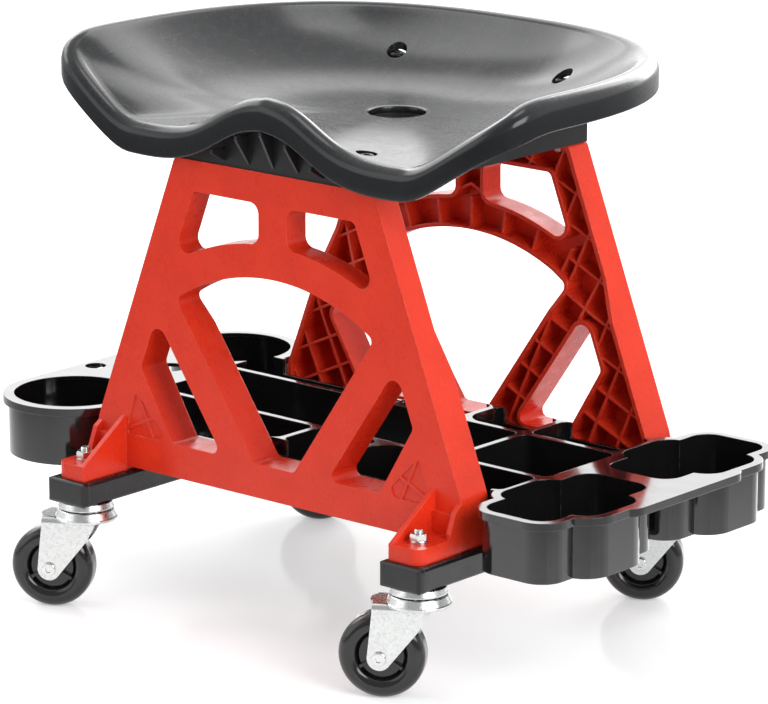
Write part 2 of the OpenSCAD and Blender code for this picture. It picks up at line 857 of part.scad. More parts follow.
// Crest point, outward normal, distance and rim slope in the direction d
function column(d) =
    let (q = abs(d), s = sign(d), a = crest_angle(q), p = crest(a),
        step = crest(a + probe_deg) - crest(a - probe_deg), t = unit([step.x, step.y]),
        flat = [p.x, p.y - bowl_y], dist = norm(flat), dir = flat / dist, n = [t.y, -t.x],
        out = n * dir < 0 ? -n : n,
        slope = atan(bowl_power_share * (p.z - bowl_h) / dist / (out * dir)))
    [[p.x * (s < 0 ? -1 : 1), p.y, p.z], [out.x * (s < 0 ? -1 : 1), out.y], slope];

// A point of the rolled rim: r from the roll's centre, turned w degrees outward from its top
function rolled(c, r, w) =
    [c[0].x + c[1].x * r * sin(w), c[0].y + c[1].y * r * sin(w), c[0].z - roll_r + r * cos(w)];

// A point of the dish at the share s of the way from the centre hole to the rolled rim,
// moved down through the shell by t
function dished(c, s, t) =
    let (e = rolled(c, roll_r, -c[2]), flat = [e.x, e.y - bowl_y], dist = norm(flat), dir = flat / dist,
        start = centre_hole_r - hole_lap, r = start + (dist - start) * s, f = pow(r / dist, bowl_power_share),
        lean = atan(bowl_power_share * (e.z - bowl_h) * f / r))
    [dir.x * (r + t * sin(lean)), bowl_y + dir.y * (r + t * sin(lean)),
        bowl_h + (e.z - bowl_h) * f - t * cos(lean)];

// Height of the dish's underside over the place x, y
function underside(x, y) =
    let (c = column(atan2(x, bowl_y - y)), e = rolled(c, roll_r, -c[2]), dist = norm([e.x, e.y - bowl_y]),
        r = norm([x, y - bowl_y]), f = pow(r / dist, bowl_power_share),
        lean = atan(bowl_power_share * (e.z - bowl_h) * f / r))
    bowl_h + (e.z - bowl_h) * f - shell_t / cos(lean);

seat_columns = 96;
dish_rows = [0, 0.16, 0.32, 0.46, 0.58, 0.68, 0.77, 0.85, 0.93];
roll_steps = 6;
under_steps = 5;

function seat_column(d) =
    let (c = column(d))
    concat(
        [for (s = dish_rows) dished(c, s, 0)],
        [for (i = [0:roll_steps]) rolled(c, roll_r, -c[2] + (90 + c[2]) * i / roll_steps)],
        [rolled(c, roll_r, 90) - [0, 0, skirt_h - roll_r],
            rolled(c, roll_r - shell_t, 90) - [0, 0, skirt_h - roll_r]],
        [for (i = [under_steps:-1:0])
            rolled(c, roll_r - shell_t, -c[2] + (90 + c[2]) * i / under_steps)],
        [for (i = [len(dish_rows) - 1:-1:0]) dished(c, dish_rows[i], shell_t)]);

module seat_shell() {
    cols = [for (i = [0:seat_columns - 1]) seat_column(360 * (i + 0.5) / seat_columns - 180)];
    m = len(cols[0]);
    n = seat_columns;
    polyhedron(
        points = [for (c = cols) each c],
        faces = [for (i = [0:n - 1], j = [0:m - 1])
            let (a = i * m + j, b = i * m + (j + 1) % m,
                c = ((i + 1) % n) * m + (j + 1) % m, d = ((i + 1) % n) * m + j)
            each [[a, c, b], [a, d, c]]],
        convexity = 6);
}

// Floors of the recesses over the seat screws, front and rear
well_depth = 3.2;
well_floor_t = 3.2;
well_boss_r = screw_well_r + small_fillet;
screw_y = panel_y - screw_in;
well_front_z = underside(screw_x, -screw_y) + shell_t - well_depth;
well_rear_z = underside(screw_x, screw_y) + shell_t - well_depth;

// Where a recess's boss ends: under its floor, and nowhere inside the shell round it
function boss_z(y, z) =
    let (q = [screw_x, y] + (well_boss_r + rest_gap) * unit([-screw_x, bowl_y - y]))
    min(z - well_floor_t, underside(q.x, q.y));

// Each recess's floor at Z 0, with its boss's depth in $boss_h
module at_wells() {
    for (s = [-1, 1], y = [-screw_y, screw_y]) {
        z = y < 0 ? well_front_z : well_rear_z;
        $boss_h = z - boss_z(y, z);
        translate([s * screw_x, y, z]) children();
    }
}

module seat_pan() {
    color("#2b2c30") translate([0, 0, seat_z]) difference() {
        union() {
            seat_shell();
            at_wells() translate([0, 0, -$boss_h]) cylinder(r = well_boss_r, h = $boss_h);
        }
        at_wells() {
            cylinder(r = screw_well_r, h = 4 * shell_t);
            translate([0, 0, -$boss_h - over])
                cylinder(r = seat_screw_r + hole_gap, h = $boss_h + 2 * over);
        }
        translate([0, bowl_y, 0]) cylinder(r = centre_hole_r, h = side_h);
    }
}

// Ribs of the base: their tops follow the dish, a little below it
base_y = panel_y - base_back;
rib_gap = 0.6;
rib_points = 24;

module rib_across(y, x1, t) {
    xs = [for (i = [0:rib_points]) -x1 + 2 * x1 * i / rib_points];
    slab(y - t / 2, y + t / 2)
        polygon(concat([[x1, 0], [-x1, 0]],
            [for (x = xs) [x, min(underside(x, y - t / 2), underside(x, y + t / 2)) - rib_gap]]));
}

module rib_along(x, y1, t) {
    ys = [for (i = [0:rib_points]) -y1 + 2 * y1 * i / rib_points];
    translate([x - t / 2, 0, 0]) rotate([90, 0, 90]) linear_extrude(t)
        polygon(concat([[y1, 0], [-y1, 0]],
            [for (y = ys) [y, min(underside(x - t / 2, y), underside(x + t / 2, y)) - rib_gap]]));
}

// A gusset in front of the base that carries the skirt's lower edge
module pommel_rib(x) {
    c = column(atan2(abs(x) + base_rib_t, bowl_y + base_y));
    out = -c[0].y + roll_r;
    high = c[0].z - skirt_h - rest_gap;
    translate([x - base_rib_t / 2, 0, 0]) rotate([90, 0, 90]) linear_extrude(base_rib_t)
        polygon([[-base_y + base_wall / 2, base_wall], [-base_y + base_wall / 2, high],
            [-out, high], [-out, high - base_rib_t], [-base_y, base_wall]]);
}

module seat_base() {
    ribs = floor((base_half - base_wall) / base_pitch);
    long_ribs = floor((base_y - base_wall) / base_pitch);
    color("#1a1a1c") translate([0, 0, seat_z]) difference() {
        union() {
            for (s = [-1, 1]) {
                rib_along(s * (base_half - base_wall / 2), base_y, base_wall);
                rib_across(s * (base_y - base_wall / 2), base_half, base_wall);
                for (y = [-screw_y, screw_y])
                    translate([s * screw_x, y, 0])
                        cylinder(r = well_boss_r,
                            h = boss_z(y, y < 0 ? well_front_z : well_rear_z));
            }
            for (i = [-ribs:ribs]) rib_along(i * base_pitch, base_y - base_wall / 2, base_rib_t);
            for (i = [-long_ribs:long_ribs])
                rib_across(i * base_pitch, base_half - base_wall / 2, base_rib_t);
            for (i = [-2:2]) pommel_rib(i * base_pitch);
            translate([0, bowl_y, 0])
                cylinder(r = centre_hole_r + base_wall, h = bowl_h - shell_t - rest_gap);
        }
        at_wells() {
            translate([0, 0, -$boss_h]) cylinder(r = well_boss_r + rest_gap, h = side_h);
            translate([0, 0, -side_h]) cylinder(r = seat_screw_r + hole_gap, h = 2 * side_h);
        }
        translate([0, bowl_y, -over]) cylinder(r = centre_hole_r, h = bowl_h + over);
    }
}

// Fasteners

module hex_nut(af, h, bore) {
    difference() {
        intersection() {
            cylinder(r = af / 2 / cos(30), h = h, $fn = 6);
            rotate_extrude() polygon([[0, 0], [af / 2, 0], [af / 2 / cos(30), af / 12],
                [af / 2 / cos(30), h - af / 12], [af / 2, h], [0, h]]);
        }
        translate([0, 0, -over]) cylinder(r = bore, h = h + 2 * over);
    }
}

// A screw that points down from Z 0, with a domed head above
module pan_screw(r, len, head_r, head_h) {
    rotate_extrude() {
        polygon([[0, -len], [r - tip_chamfer, -len], [r, -len + tip_chamfer], [r, over / 2], [0, over / 2]]);
        polygon([[0, 0], [head_r, 0], [head_r, head_h / 2], [head_r - head_h / 2, head_h], [0, head_h]]);
        translate([head_r - head_h / 2, head_h / 2]) intersection() {
            circle(r = head_h / 2);
            square(head_h);
        }
    }
}

// The socket in a screw's head
module driver_socket(head_r, head_h) {
    translate([0, 0, head_h / 2]) cylinder(r = head_r / 2, h = head_h, $fn = 6);
}

module seat_screw(z) {
    len = z + flange_t + seat_nut_h + screw_end;
    difference() {
        pan_screw(seat_screw_r, len, seat_head_r, seat_head_h);
        driver_socket(seat_head_r, seat_head_h);
    }
}

module front_seat_screws() {
    color("silver") for (s = [-1, 1])
        translate([s * screw_x, -screw_y, seat_z + well_front_z]) seat_screw(well_front_z);
}

module rear_seat_screws() {
    color("silver") for (s = [-1, 1])
        translate([s * screw_x, screw_y, seat_z + well_rear_z]) seat_screw(well_rear_z);
}

module seat_nuts() {
    color("silver") for (x = [-screw_x, screw_x], y = [-screw_y, screw_y])
        translate([x, y, seat_z - flange_t - seat_nut_h])
            hex_nut(seat_nut_af, seat_nut_h, seat_screw_r + run_gap);
}

module tray_screws() {
    head_h = tray_head_r / 2;
    color("silver") for (x = [-rail_x, rail_x], y = [-tray_screw_y, tray_screw_y])
        translate([x, y, rail_top + tray_wall]) difference() {
            pan_screw(tray_screw_r, tray_wall + 3 * rail_wall, tray_head_r, head_h);
            driver_socket(tray_head_r, head_h);
        }
}

module at_casters() {
    for (x = [-rail_x, rail_x], y = [-caster_y, caster_y]) translate([x, y, 0]) children();
}

module foot_washers() {
    color("silver") at_casters() translate([0, 0, rail_top + foot_t]) difference() {
        cylinder(r = washer_r, h = washer_t);
        translate([0, 0, -over]) cylinder(r = stem_r + hole_gap, h = washer_t + 2 * over);
    }
}

module foot_nuts() {
    color("silver") at_casters() translate([0, 0, rail_top + foot_t + washer_t])
        hex_nut(stem_nut_af, stem_nut_h, stem_r + run_gap);
}

// Casters, drawn with the pivot on Z and the wheel trailing along +X

fork_crown = fork_top - fork_t;
groove_r = ball_r + rest_gap;
hub_half = cheek_half - fork_t;
stem_top = rail_top + foot_t + washer_t + stem_nut_h + stem_end;
shoulder_z = race_z + rest_gap;

module ball_groove() {
    translate([0, 0, ball_z]) rotate_extrude()
        translate([ball_ring_r, 0]) circle(r = groove_r);
}

module caster_stem() {
    head_z = fork_crown - rest_gap;
    color("silver") rotate_extrude() polygon([[0, head_z - pivot_head_h], [pivot_head_r - tip_chamfer,
        head_z - pivot_head_h], [pivot_head_r, head_z - pivot_head_h + tip_chamfer],
        [pivot_head_r, head_z], [pivot_r, head_z], [pivot_r, shoulder_z], [stem_r, shoulder_z],
        [stem_r, stem_top - tip_chamfer], [stem_r - tip_chamfer, stem_top], [0, stem_top]]);
}

pivot_head_h = 2.4;

module caster_race() {
    edge = small_fillet / 2;
    color("silver") difference() {
        rotate_extrude() polygon([[0, race_z], [head_r - edge, race_z], [head_r, race_z + edge],
            [head_r, race_z + 2 * edge], [race_top_r, rail_z], [0, rail_z]]);
        translate([0, 0, race_z - over]) cylinder(r = stem_r + run_gap, h = race_h + 2 * over);
        translate([0, 0, race_z - over]) cylinder(r = pivot_r + hole_gap, h = shoulder_z - race_z + over);
        ball_groove();
    }
}

module caster_balls() {
    color("silver") for (i = [0:ball_count - 1])
        rotate([0, 0, 360 * i / ball_count]) translate([ball_ring_r, 0, ball_z]) sphere(r = ball_r);
}

// The folded section of the fork, seen along the trail
module fork_section() {
    inner = fork_bend - fork_t;
    difference() {
        soft_polygon([[-cheek_half, 0], [cheek_half, 0], [cheek_half, fork_top], [-cheek_half, fork_top]],
            [0, 0, fork_bend, fork_bend]);
        soft_polygon([[-hub_half, -over], [hub_half, -over], [hub_half, fork_crown],
            [-hub_half, fork_crown]], [0, 0, inner, inner]);
    }
}

// The fork seen from the side
module fork_side() {
    eye = [trail, wheel_r];
    polygon([[-cheek_lead - fork_t, fork_top + over], [cheek_rear, fork_top + over],
        [cheek_rear, fork_crown - fork_bend], eye + [cheek_eye_r, 0], eye,
        eye + cheek_eye_r * [-cheek_turn_share, -cheek_rise_share],
        [-cheek_neck, wheel_r + cheek_neck_rise], [-cheek_lead, wheel_r + cheek_lead_rise],
        [-cheek_lead - fork_t, fork_crown]]);
    translate(eye) circle(r = cheek_eye_r);
}

// The rear end of the fork's crown, seen from above, between the folds
module crown_end() {
    end = cheek_rear + crown_bulge;
    wide = cheek_half - 1.5 * fork_bend;
    bulge_r = (wide ^ 2 + crown_bulge ^ 2) / (2 * crown_bulge);
    intersection() {
        translate([end - bulge_r, 0]) circle(r = bulge_r);
        translate([cheek_rear - crown_bulge, -cheek_half]) square([end, 2 * cheek_half]);
    }
}

module caster_fork() {
    edge = small_fillet / 2;
    color("#c9cbd0") difference() {
        union() {
            intersection() {
                translate([-cheek_lead - 2 * fork_t, 0, 0]) rotate([90, 0, 90])
                    linear_extrude(crown_r + trail + cheek_eye_r + over) fork_section();
                slab(-cheek_half - over, cheek_half + over) fork_side();
            }
            translate([0, 0, fork_crown]) linear_extrude(fork_t) crown_end();
            rotate_extrude() polygon([[0, fork_crown], [crown_r - edge, fork_crown],
                [crown_r, fork_crown + edge], [crown_r, fork_top - edge], [crown_r - edge, fork_top],
                [head_r, head_top - edge], [head_r - edge, head_top], [0, head_top]]);
        }
        translate([0, 0, fork_crown - over]) cylinder(r = pivot_r + run_gap, h = fork_t + head_h + 2 * over);
        ball_groove();
        translate([trail, 0, wheel_r]) rotate([90, 0, 0])
            cylinder(r = axle_r + run_gap, h = 2 * cheek_half + 2 * over, center = true);
    }
}

module at_axle() {
    translate([trail, 0, wheel_r]) rotate([-90, 0, 0]) children();
}

module caster_axle() {
    color("silver") at_axle() difference() {
        translate([0, 0, cheek_half])
            pan_screw(axle_r, 2 * cheek_half + axle_nut_h + tip_chamfer, axle_head_r, axle_head_h);
        translate([0, 0, cheek_half]) driver_socket(axle_head_r, axle_head_h);
    }
}

module caster_axle_nut() {
    color("silver") at_axle() translate([0, 0, -cheek_half - axle_nut_h])
        hex_nut(axle_nut_af, axle_nut_h, axle_r + run_gap);
}

module caster_sleeve() {
    color("#b5b7bc") at_axle() difference() {
        cylinder(r = sleeve_r, h = 2 * hub_half, center = true);
        cylinder(r = axle_r + run_gap, h = 2 * hub_half + 2 * over, center = true);
    }
}

// Where the first spoke stands, as a share of the angle between two spokes
spoke_share = 0.25;

module caster_wheel() {
    half = wheel_w / 2;
    hub = hub_half - rest_gap;
    web = half - dish_depth;
    rim = ring_r + small_fillet;
    color("#111113") at_axle() {
        rotate_extrude() {
            translate([rim, -half + tread_round]) square([wheel_r - rim, wheel_w - 2 * tread_round]);
            translate([ring_r, -half]) square([wheel_r - tread_round - ring_r, wheel_w]);
            for (s = [-1, 1])
                translate([wheel_r - tread_round, s * (half - tread_round)]) circle(r = tread_round);
            translate([hub_r - small_fillet, -web]) square([rim - hub_r + small_fillet, 2 * web]);
            translate([sleeve_r + run_gap, -hub]) square([hub_r - sleeve_r - run_gap, 2 * hub]);
        }
        for (i = [0:spoke_count - 1])
            rotate([0, 0, 360 * (i + spoke_share) / spoke_count])
                translate([hub_r - small_fillet, -small_fillet, -web - dish_depth / 2])
                    cube([rim - hub_r + small_fillet, 2 * small_fillet, 2 * web + dish_depth]);
    }
}

module caster_part(what) {
    if (what == "stem") caster_stem();
    if (what == "race") caster_race();
    if (what == "balls") caster_balls();
    if (what == "fork") caster_fork();
    if (what == "axle") caster_axle();
    if (what == "axle_nut") caster_axle_nut();
    if (what == "sleeve") caster_sleeve();
    if (what == "wheel") caster_wheel();
}

module caster(side, end, what) {
    at_rest() translate([side * rail_x, end * caster_y, 0]) rotate([0, 0, swivel_deg]) caster_part(what);
}

module front_left(what) { caster(-1, -1, what); }
module front_right(what) { caster(1, -1, what); }
module rear_left(what) { caster(-1, 1, what); }
module rear_right(what) { caster(1, 1, what); }

at_rest() seat_pan();
at_rest() seat_base();
at_rest() front_panel();
at_rest() rear_panel();
at_rest() left_rail();
at_rest() right_rail();
at_rest() rail_end_caps();
at_rest() tool_tray();
at_rest() front_seat_screws();
at_rest() rear_seat_screws();
at_rest() seat_nuts();
at_rest() tray_screws();
at_rest() foot_washers();
at_rest() foot_nuts();
front_left("stem");  // front_left_stem
front_left("race");  // front_left_race
front_left("balls");  // front_left_balls
front_left("fork");  // front_left_fork
front_left("axle");  // front_left_axle
front_left("axle_nut");  // front_left_axle_nut
front_left("sleeve");  // front_left_sleeve
front_left("wheel");  // front_left_wheel
front_right("stem");  // front_right_stem
front_right("race");  // front_right_race
front_right("balls");  // front_right_balls
front_right("fork");  // front_right_fork
front_right("axle");  // front_right_axle
front_right("axle_nut");  // front_right_axle_nut
front_right("sleeve");  // front_right_sleeve
front_right("wheel");  // front_right_wheel
rear_left("stem");  // rear_left_stem
rear_left("race");  // rear_left_race
rear_left("balls");  // rear_left_balls
rear_left("fork");  // rear_left_fork
rear_left("axle");  // rear_left_axle
rear_left("axle_nut");  // rear_left_axle_nut
rear_left("sleeve");  // rear_left_sleeve
rear_left("wheel");  // rear_left_wheel
rear_right("stem");  // rear_right_stem
rear_right("race");  // rear_right_race
rear_right("balls");  // rear_right_balls
rear_right("fork");  // rear_right_fork
rear_right("axle");  // rear_right_axle
rear_right("axle_nut");  // rear_right_axle_nut
rear_right("sleeve");  // rear_right_sleeve
rear_right("wheel");  // rear_right_wheel
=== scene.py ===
"""Looks of the creeper seat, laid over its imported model: plastic, paint, zinc plate and a pale studio."""

import math

import bmesh
import bpy
import numpy as np
from mathutils import Matrix, Vector


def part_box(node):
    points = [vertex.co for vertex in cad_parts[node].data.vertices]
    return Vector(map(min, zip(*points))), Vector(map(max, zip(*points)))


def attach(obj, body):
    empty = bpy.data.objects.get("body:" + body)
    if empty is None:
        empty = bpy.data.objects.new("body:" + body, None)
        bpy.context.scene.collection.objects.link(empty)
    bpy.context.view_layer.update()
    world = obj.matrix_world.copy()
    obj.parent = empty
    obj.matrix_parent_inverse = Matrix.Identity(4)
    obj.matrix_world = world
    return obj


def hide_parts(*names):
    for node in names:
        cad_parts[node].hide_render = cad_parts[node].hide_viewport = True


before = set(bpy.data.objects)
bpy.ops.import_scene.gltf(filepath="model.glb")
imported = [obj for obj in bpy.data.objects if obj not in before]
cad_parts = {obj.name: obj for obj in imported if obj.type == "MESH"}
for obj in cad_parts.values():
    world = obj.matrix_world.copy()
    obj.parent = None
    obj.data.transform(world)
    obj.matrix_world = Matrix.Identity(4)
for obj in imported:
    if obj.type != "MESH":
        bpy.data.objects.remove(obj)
bpy.context.view_layer.update()

bl_info = {
    "name": "Creeper seat looks",
    "version": (1, 0, 0),
    "blender": (4, 5, 0),
    "location": "3D View > Sidebar > Creeper seat",
    "description": "Finishes of a rolling mechanic's seat over its packed model",
    "category": "Object",
}

CORNERS = ("front_left", "front_right", "rear_left", "rear_right")

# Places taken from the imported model, in metres
PANEL_HEIGHT = 0.2088
PANELS_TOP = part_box("front_panel")[1].z
PANELS_FOOT = PANELS_TOP - PANEL_HEIGHT
RACES_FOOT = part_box("front_left_race")[0].z
MIDDLE_Y = (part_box("front_panel")[0].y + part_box("rear_panel")[1].y) / 2


# ---------------------------------------------------------------- settings

def length(name, description, default, low=0.0, high=1.0):
    return bpy.props.FloatProperty(name=name, description=description, default=default, min=low, max=high,
        precision=5, unit="LENGTH", subtype="DISTANCE")


def share(name, description, default, low=0.0, high=1.0):
    return bpy.props.FloatProperty(name=name, description=description, default=default, min=low, max=high,
        precision=3, subtype="FACTOR")


def angle(name, description, degrees):
    return bpy.props.FloatProperty(name=name, description=description, default=math.radians(degrees),
        unit="ROTATION", subtype="ANGLE")


def count(name, description, default, low, high):
    return bpy.props.IntProperty(name=name, description=description, default=default, min=low, max=high)


def colour(name, description, default):
    return bpy.props.FloatVectorProperty(name=name, description=description, default=default, size=3,
        min=0.0, max=1.0, subtype="COLOR")


def power(name, description, default):
    return bpy.props.FloatProperty(name=name, description=description, default=default, unit="POWER")


def point(name, description, default):
    return bpy.props.FloatVectorProperty(name=name, description=description, default=default, size=3,
        subtype="TRANSLATION", unit="LENGTH")


class SeatSettings(bpy.types.PropertyGroup):
    """The dished seat's shape and finish"""
    half_width: length("Half width", "Half width of the seat at its crest", 0.1798)
    front: length("Front reach", "Reach of the crest in front of the widest line", 0.05)
    rear: length("Rear reach", "Reach of the crest behind the widest line", 0.1885)
    line: length("Widest line", "How far the widest line lies in front of the middle", 0.0548)
    pommel: length("Pommel height", "Height of the crest at the front over the panels", 0.0486)
    side: length("Side height", "Height of the crest at the sides over the panels", 0.0655)
    dip: length("Leg dip", "Depth of the dips for the legs", 0.0424)
    leg: angle("Leg direction", "Direction of the legs' dips from the front", 65.7)
    dip_inner: angle("Inner spread", "Spread of a dip toward the front", 33.3)
    dip_outer: angle("Outer spread", "Spread of a dip toward the side", 8.8)
    bowl: length("Bowl height", "Height of the bottom of the dish over the panels", 0.0212)
    bowl_y: length("Bowl place", "How far the bottom of the dish lies behind the middle", 0.014)
    shell: length("Shell", "Thickness of the seat's shell", 0.004)
    roll: length("Roll", "Radius of the rolled rim", 0.0081)
    skirt: length("Skirt", "Height of the skirt below the crest", 0.01975)
    hole: length("Hole", "Radius of the hole in the middle", 0.018)
    edge: length("Edge", "Rounding of the hole's and the skirt's edges", 0.001)
    screw_x: length("Screw place", "Distance from the middle to the seat screws along the panels", 0.068)
    screw_y: length("Screw line", "Distance from the middle to the seat screws across the panels", 0.093)
    well: length("Recess", "Radius of the recess over a seat screw", 0.0065)
    well_depth: length("Recess depth", "Depth of a recess under the dish", 0.0032)
    boss: length("Boss", "Thickness of the boss under a recess", 0.0032)
    rest: length("Clearance", "Clearance of a boss from the shell", 0.0003)
    screw_hole: length("Screw hole", "Radius of a screw's hole", 0.0028)
    rib_pitch: length("Rib pitch", "Distance between the ribs under the dish", 0.02)
    columns: count("Columns", "Faces round the seat", 288, 48, 720)
    rows: count("Rows", "Faces from the hole to the rim", 40, 8, 120)
    colour: colour("Colour", "Colour of the seat's plastic", (0.011, 0.012, 0.014))
    worn: colour("Worn colour", "Colour where the plastic is rubbed", (0.04, 0.042, 0.046))
    roughness: share("Roughness", "Roughness of the seat's plastic", 0.24)
    coat_roughness: share("Gloss roughness", "Roughness of the gloss on the seat's plastic", 0.17)


class PanelSettings(bpy.types.PropertyGroup):
    """The red side panels' finish"""
    colour: colour("Colour", "Colour of the panels' plastic", (0.76, 0.038, 0.012))
    deep: colour("Deep colour", "Colour in the mottle of the plastic", (0.70, 0.033, 0.011))
    worn: colour("Rubbed colour", "Colour along the rubbed edges", (0.85, 0.11, 0.055))
    roughness: share("Roughness", "Roughness of the panels' plastic", 0.3)
    edge: length("Edge", "Softness of the moulded edges", 0.0008)
    pitch: length("Rib pitch", "Distance between the ribs behind the face", 0.02)
    turn: angle("Rib turn", "Turn of the ribs against the panel", 24.5)
    start: length("First rib", "Place of the first rib across the turn", 0.017)
    side_start: length("First side rib", "Place of the first rib along the turn", 0.0034)


class BaseSettings(bpy.types.PropertyGroup):
    """The finish of the ribbed base, the tray, the rails and their caps"""
    base: colour("Base colour", "Colour of the ribbed base", (0.016, 0.016, 0.018))
    tray: colour("Tray colour", "Colour of the tool tray", (0.008, 0.0075, 0.008))
    tray_worn: colour("Tray scuffs", "Colour of the scuffs on the tray", (0.05, 0.05, 0.053))
    tray_roughness: share("Tray roughness", "Roughness of the tray's plastic", 0.13)
    rail: colour("Rail colour", "Colour of the rails' paint", (0.009, 0.009, 0.01))
    edge: length("Edge", "Softness of the tray's edges", 0.0009)


class MetalSettings(bpy.types.PropertyGroup):
    """The plated and turned metal"""
    zinc: colour("Zinc", "Colour of the zinc plate", (0.74, 0.76, 0.745))
    zinc_dull: colour("Dull zinc", "Colour of the zinc plate's dull places", (0.65, 0.66, 0.66))
    steel: colour("Steel", "Colour of turned steel", (0.5, 0.5, 0.52))
    thread_pitch: length("Thread pitch", "Pitch of the studs' thread", 0.001)
    thread_depth: length("Thread depth", "Depth of the studs' thread", 0.00045)
    thread_length: length("Thread length", "Length of the thread down from a stud's top", 0.011)


class WheelSettings(bpy.types.PropertyGroup):
    """The wheels' finish"""
    colour: colour("Colour", "Colour of the wheels", (0.005, 0.0045, 0.0045))
    dust: colour("Dust", "Colour of the dust on the wheels", (0.12, 0.115, 0.105))
    roughness: share("Roughness", "Roughness of the wheels", 0.16)


class StudioSettings(bpy.types.PropertyGroup):
    """The floor, the lights and the camera"""
    floor: colour("Floor", "Colour of the floor", (0.86, 0.86, 0.87))
    floor_lift: share("Floor lift", "Light that the camera sees on the floor besides the lamps'", 0.35)
    world: share("Sky", "Light from all round", 0.62)
    floor_near: length("Near floor", "Reach of the floor that is bright in reflections", 0.3, 0.0, 5.0)
    floor_far: length("Far floor", "Where the floor is dim in reflections", 0.9, 0.0, 5.0)
    floor_gloss: share("Far floor in gloss", "Share of its light that the far floor keeps in reflections",
        0.15)
    key: power("Key", "Power of the main lamp", 45.0)
    fill: power("Fill", "Power of the lamp from the left", 7.0)
    rear: power("Rear", "Power of the lamp behind", 30.0)
    near: power("Near", "Power of the small lamp over the seat", 0.12)
    top: power("Top", "Power of the lamp above", 6.0)
    left: power("Left", "Power of the lamp at the left", 14.0)
    front_gloss: share("Front gloss", "Brightness of the room's front side in reflections", 0.45)
    back_glow: share("Back glow", "Brightness that the backdrop adds in reflections", 1.3, 0.0, 5.0)
    eye: point("Camera", "The camera's place", (1.7763, -2.04961, 0.8616))
    target: point("Target", "The place that the camera looks at", (-0.00183, 0.0086, 0.16348))
    lens: bpy.props.FloatProperty(name="Lens", description="Focal length in millimetres", default=209.35)


class CreeperSettings(bpy.types.PropertyGroup):
    """Everything that a user may change"""
    seat: bpy.props.PointerProperty(type=SeatSettings)
    panel: bpy.props.PointerProperty(type=PanelSettings)
    base: bpy.props.PointerProperty(type=BaseSettings)
    metal: bpy.props.PointerProperty(type=MetalSettings)
    wheel: bpy.props.PointerProperty(type=WheelSettings)
    studio: bpy.props.PointerProperty(type=StudioSettings)


# ---------------------------------------------------------------- node tools

def new_group(name, inputs, outputs):
    """A shader node group with named sockets: (name, kind, default) in, (name, kind) out."""
    tree = bpy.data.node_groups.new(name, "ShaderNodeTree")
    for label, kind, value in inputs:
        socket = tree.interface.new_socket(name=label, in_out="INPUT", socket_type=kind)
        socket.default_value = value
    for label, kind in outputs:
        tree.interface.new_socket(name=label, in_out="OUTPUT", socket_type=kind)
    return tree, tree.nodes.new("NodeGroupInput").outputs, tree.nodes.new("NodeGroupOutput").inputs


def plug(tree, socket, value):
    """Links a socket from another one, or sets it to a value."""
    if isinstance(value, bpy.types.NodeSocket):
        tree.links.new(value, socket)
    else:
        socket.default_value = value


def node(tree, kind, sockets=None, **settings):
    """A node with its settings, and its sockets set to values or linked from other sockets."""
    made = tree.nodes.new("ShaderNode" + kind)
    for key, value in settings.items():
        setattr(made, key, value)
    for key, value in (sockets or {}).items():
        plug(tree, made.inputs[key], value)
    return made


def maths(tree, operation, a, b=0.0):
    return node(tree, "Math", {0: a, 1: b}, operation=operation).outputs[0]


def dot(tree, a, b):
    return node(tree, "VectorMath", {0: a, 1: b}, operation="DOT_PRODUCT").outputs["Value"]


def spread(tree, value, low, high, to_low=0.0, to_high=1.0):
    """A value's range mapped smoothly on another."""
    return node(tree, "MapRange", {"Value": value, "From Min": low, "From Max": high, "To Min": to_low,
        "To Max": to_high}, interpolation_type="SMOOTHSTEP").outputs[0]


# A Mix node's sockets for the share and the two colours, and for the mixed colour
MIX_COLOUR_INPUTS, MIX_COLOUR_OUTPUT = (0, 6, 7), 2


def mixed(tree, share_socket, a, b):
    """Colour a where the share is 0, b where it is 1."""
    made = node(tree, "Mix", data_type="RGBA")
    for key, value in zip(MIX_COLOUR_INPUTS, (share_socket, a, b)):
        plug(tree, made.inputs[key], value)
    return made.outputs[MIX_COLOUR_OUTPUT]


def rgba(value):
    return (*value, 1.0)


def darker(value, keep=0.8):
    return [keep * part for part in value]


def object_place(tree):
    return node(tree, "TexCoord").outputs["Object"]


def bump(tree, height, strength, distance, normal):
    """A normal with the height's relief on it."""
    return node(tree, "Bump", {"Strength": strength, "Distance": distance, "Height": height,
        "Normal": normal}).outputs[0]


def noise(tree, where, scale, detail=2.0, rough=0.5, distort=0.0):
    return node(tree, "TexNoise", {"Vector": where, "Scale": scale, "Detail": detail, "Roughness": rough,
        "Distortion": distort}).outputs["Fac"]


# ---------------------------------------------------------------- shared effects

FLOAT, VECTOR = "NodeSocketFloat", "NodeSocketVector"
BEVEL_SAMPLES = 6
# How far a full bump of each kind rises, in metres
WAVE_RISE, RELIEF_RISE, GRAIN_RISE, LINE_RISE = 0.002, 0.001, 0.0002, 0.0002
# Bands of a value over which a mask goes from 0 to 1
EDGE_BAND = (0.985, 0.86)     # cosine between a face's true normal and its softened one
UPWARD_BAND = (0.1, 0.95)     # upward part of a face's normal
RUBBED_BAND, MOTTLE_BAND, CLOUD_BAND, DULL_BAND = (0.35, 0.62), (0.3, 0.7), (0.32, 0.7), (0.4, 0.72)
DUST_BAND, BROKEN_BAND = (0.42, 0.7), (0.42, 0.62)
DRAWN = (1.0, 1.0, 9.0)       # stretch of the noise that makes fine lines across Z
LINE_SHARE = 0.2              # noise scale of the lines for a line size of 1


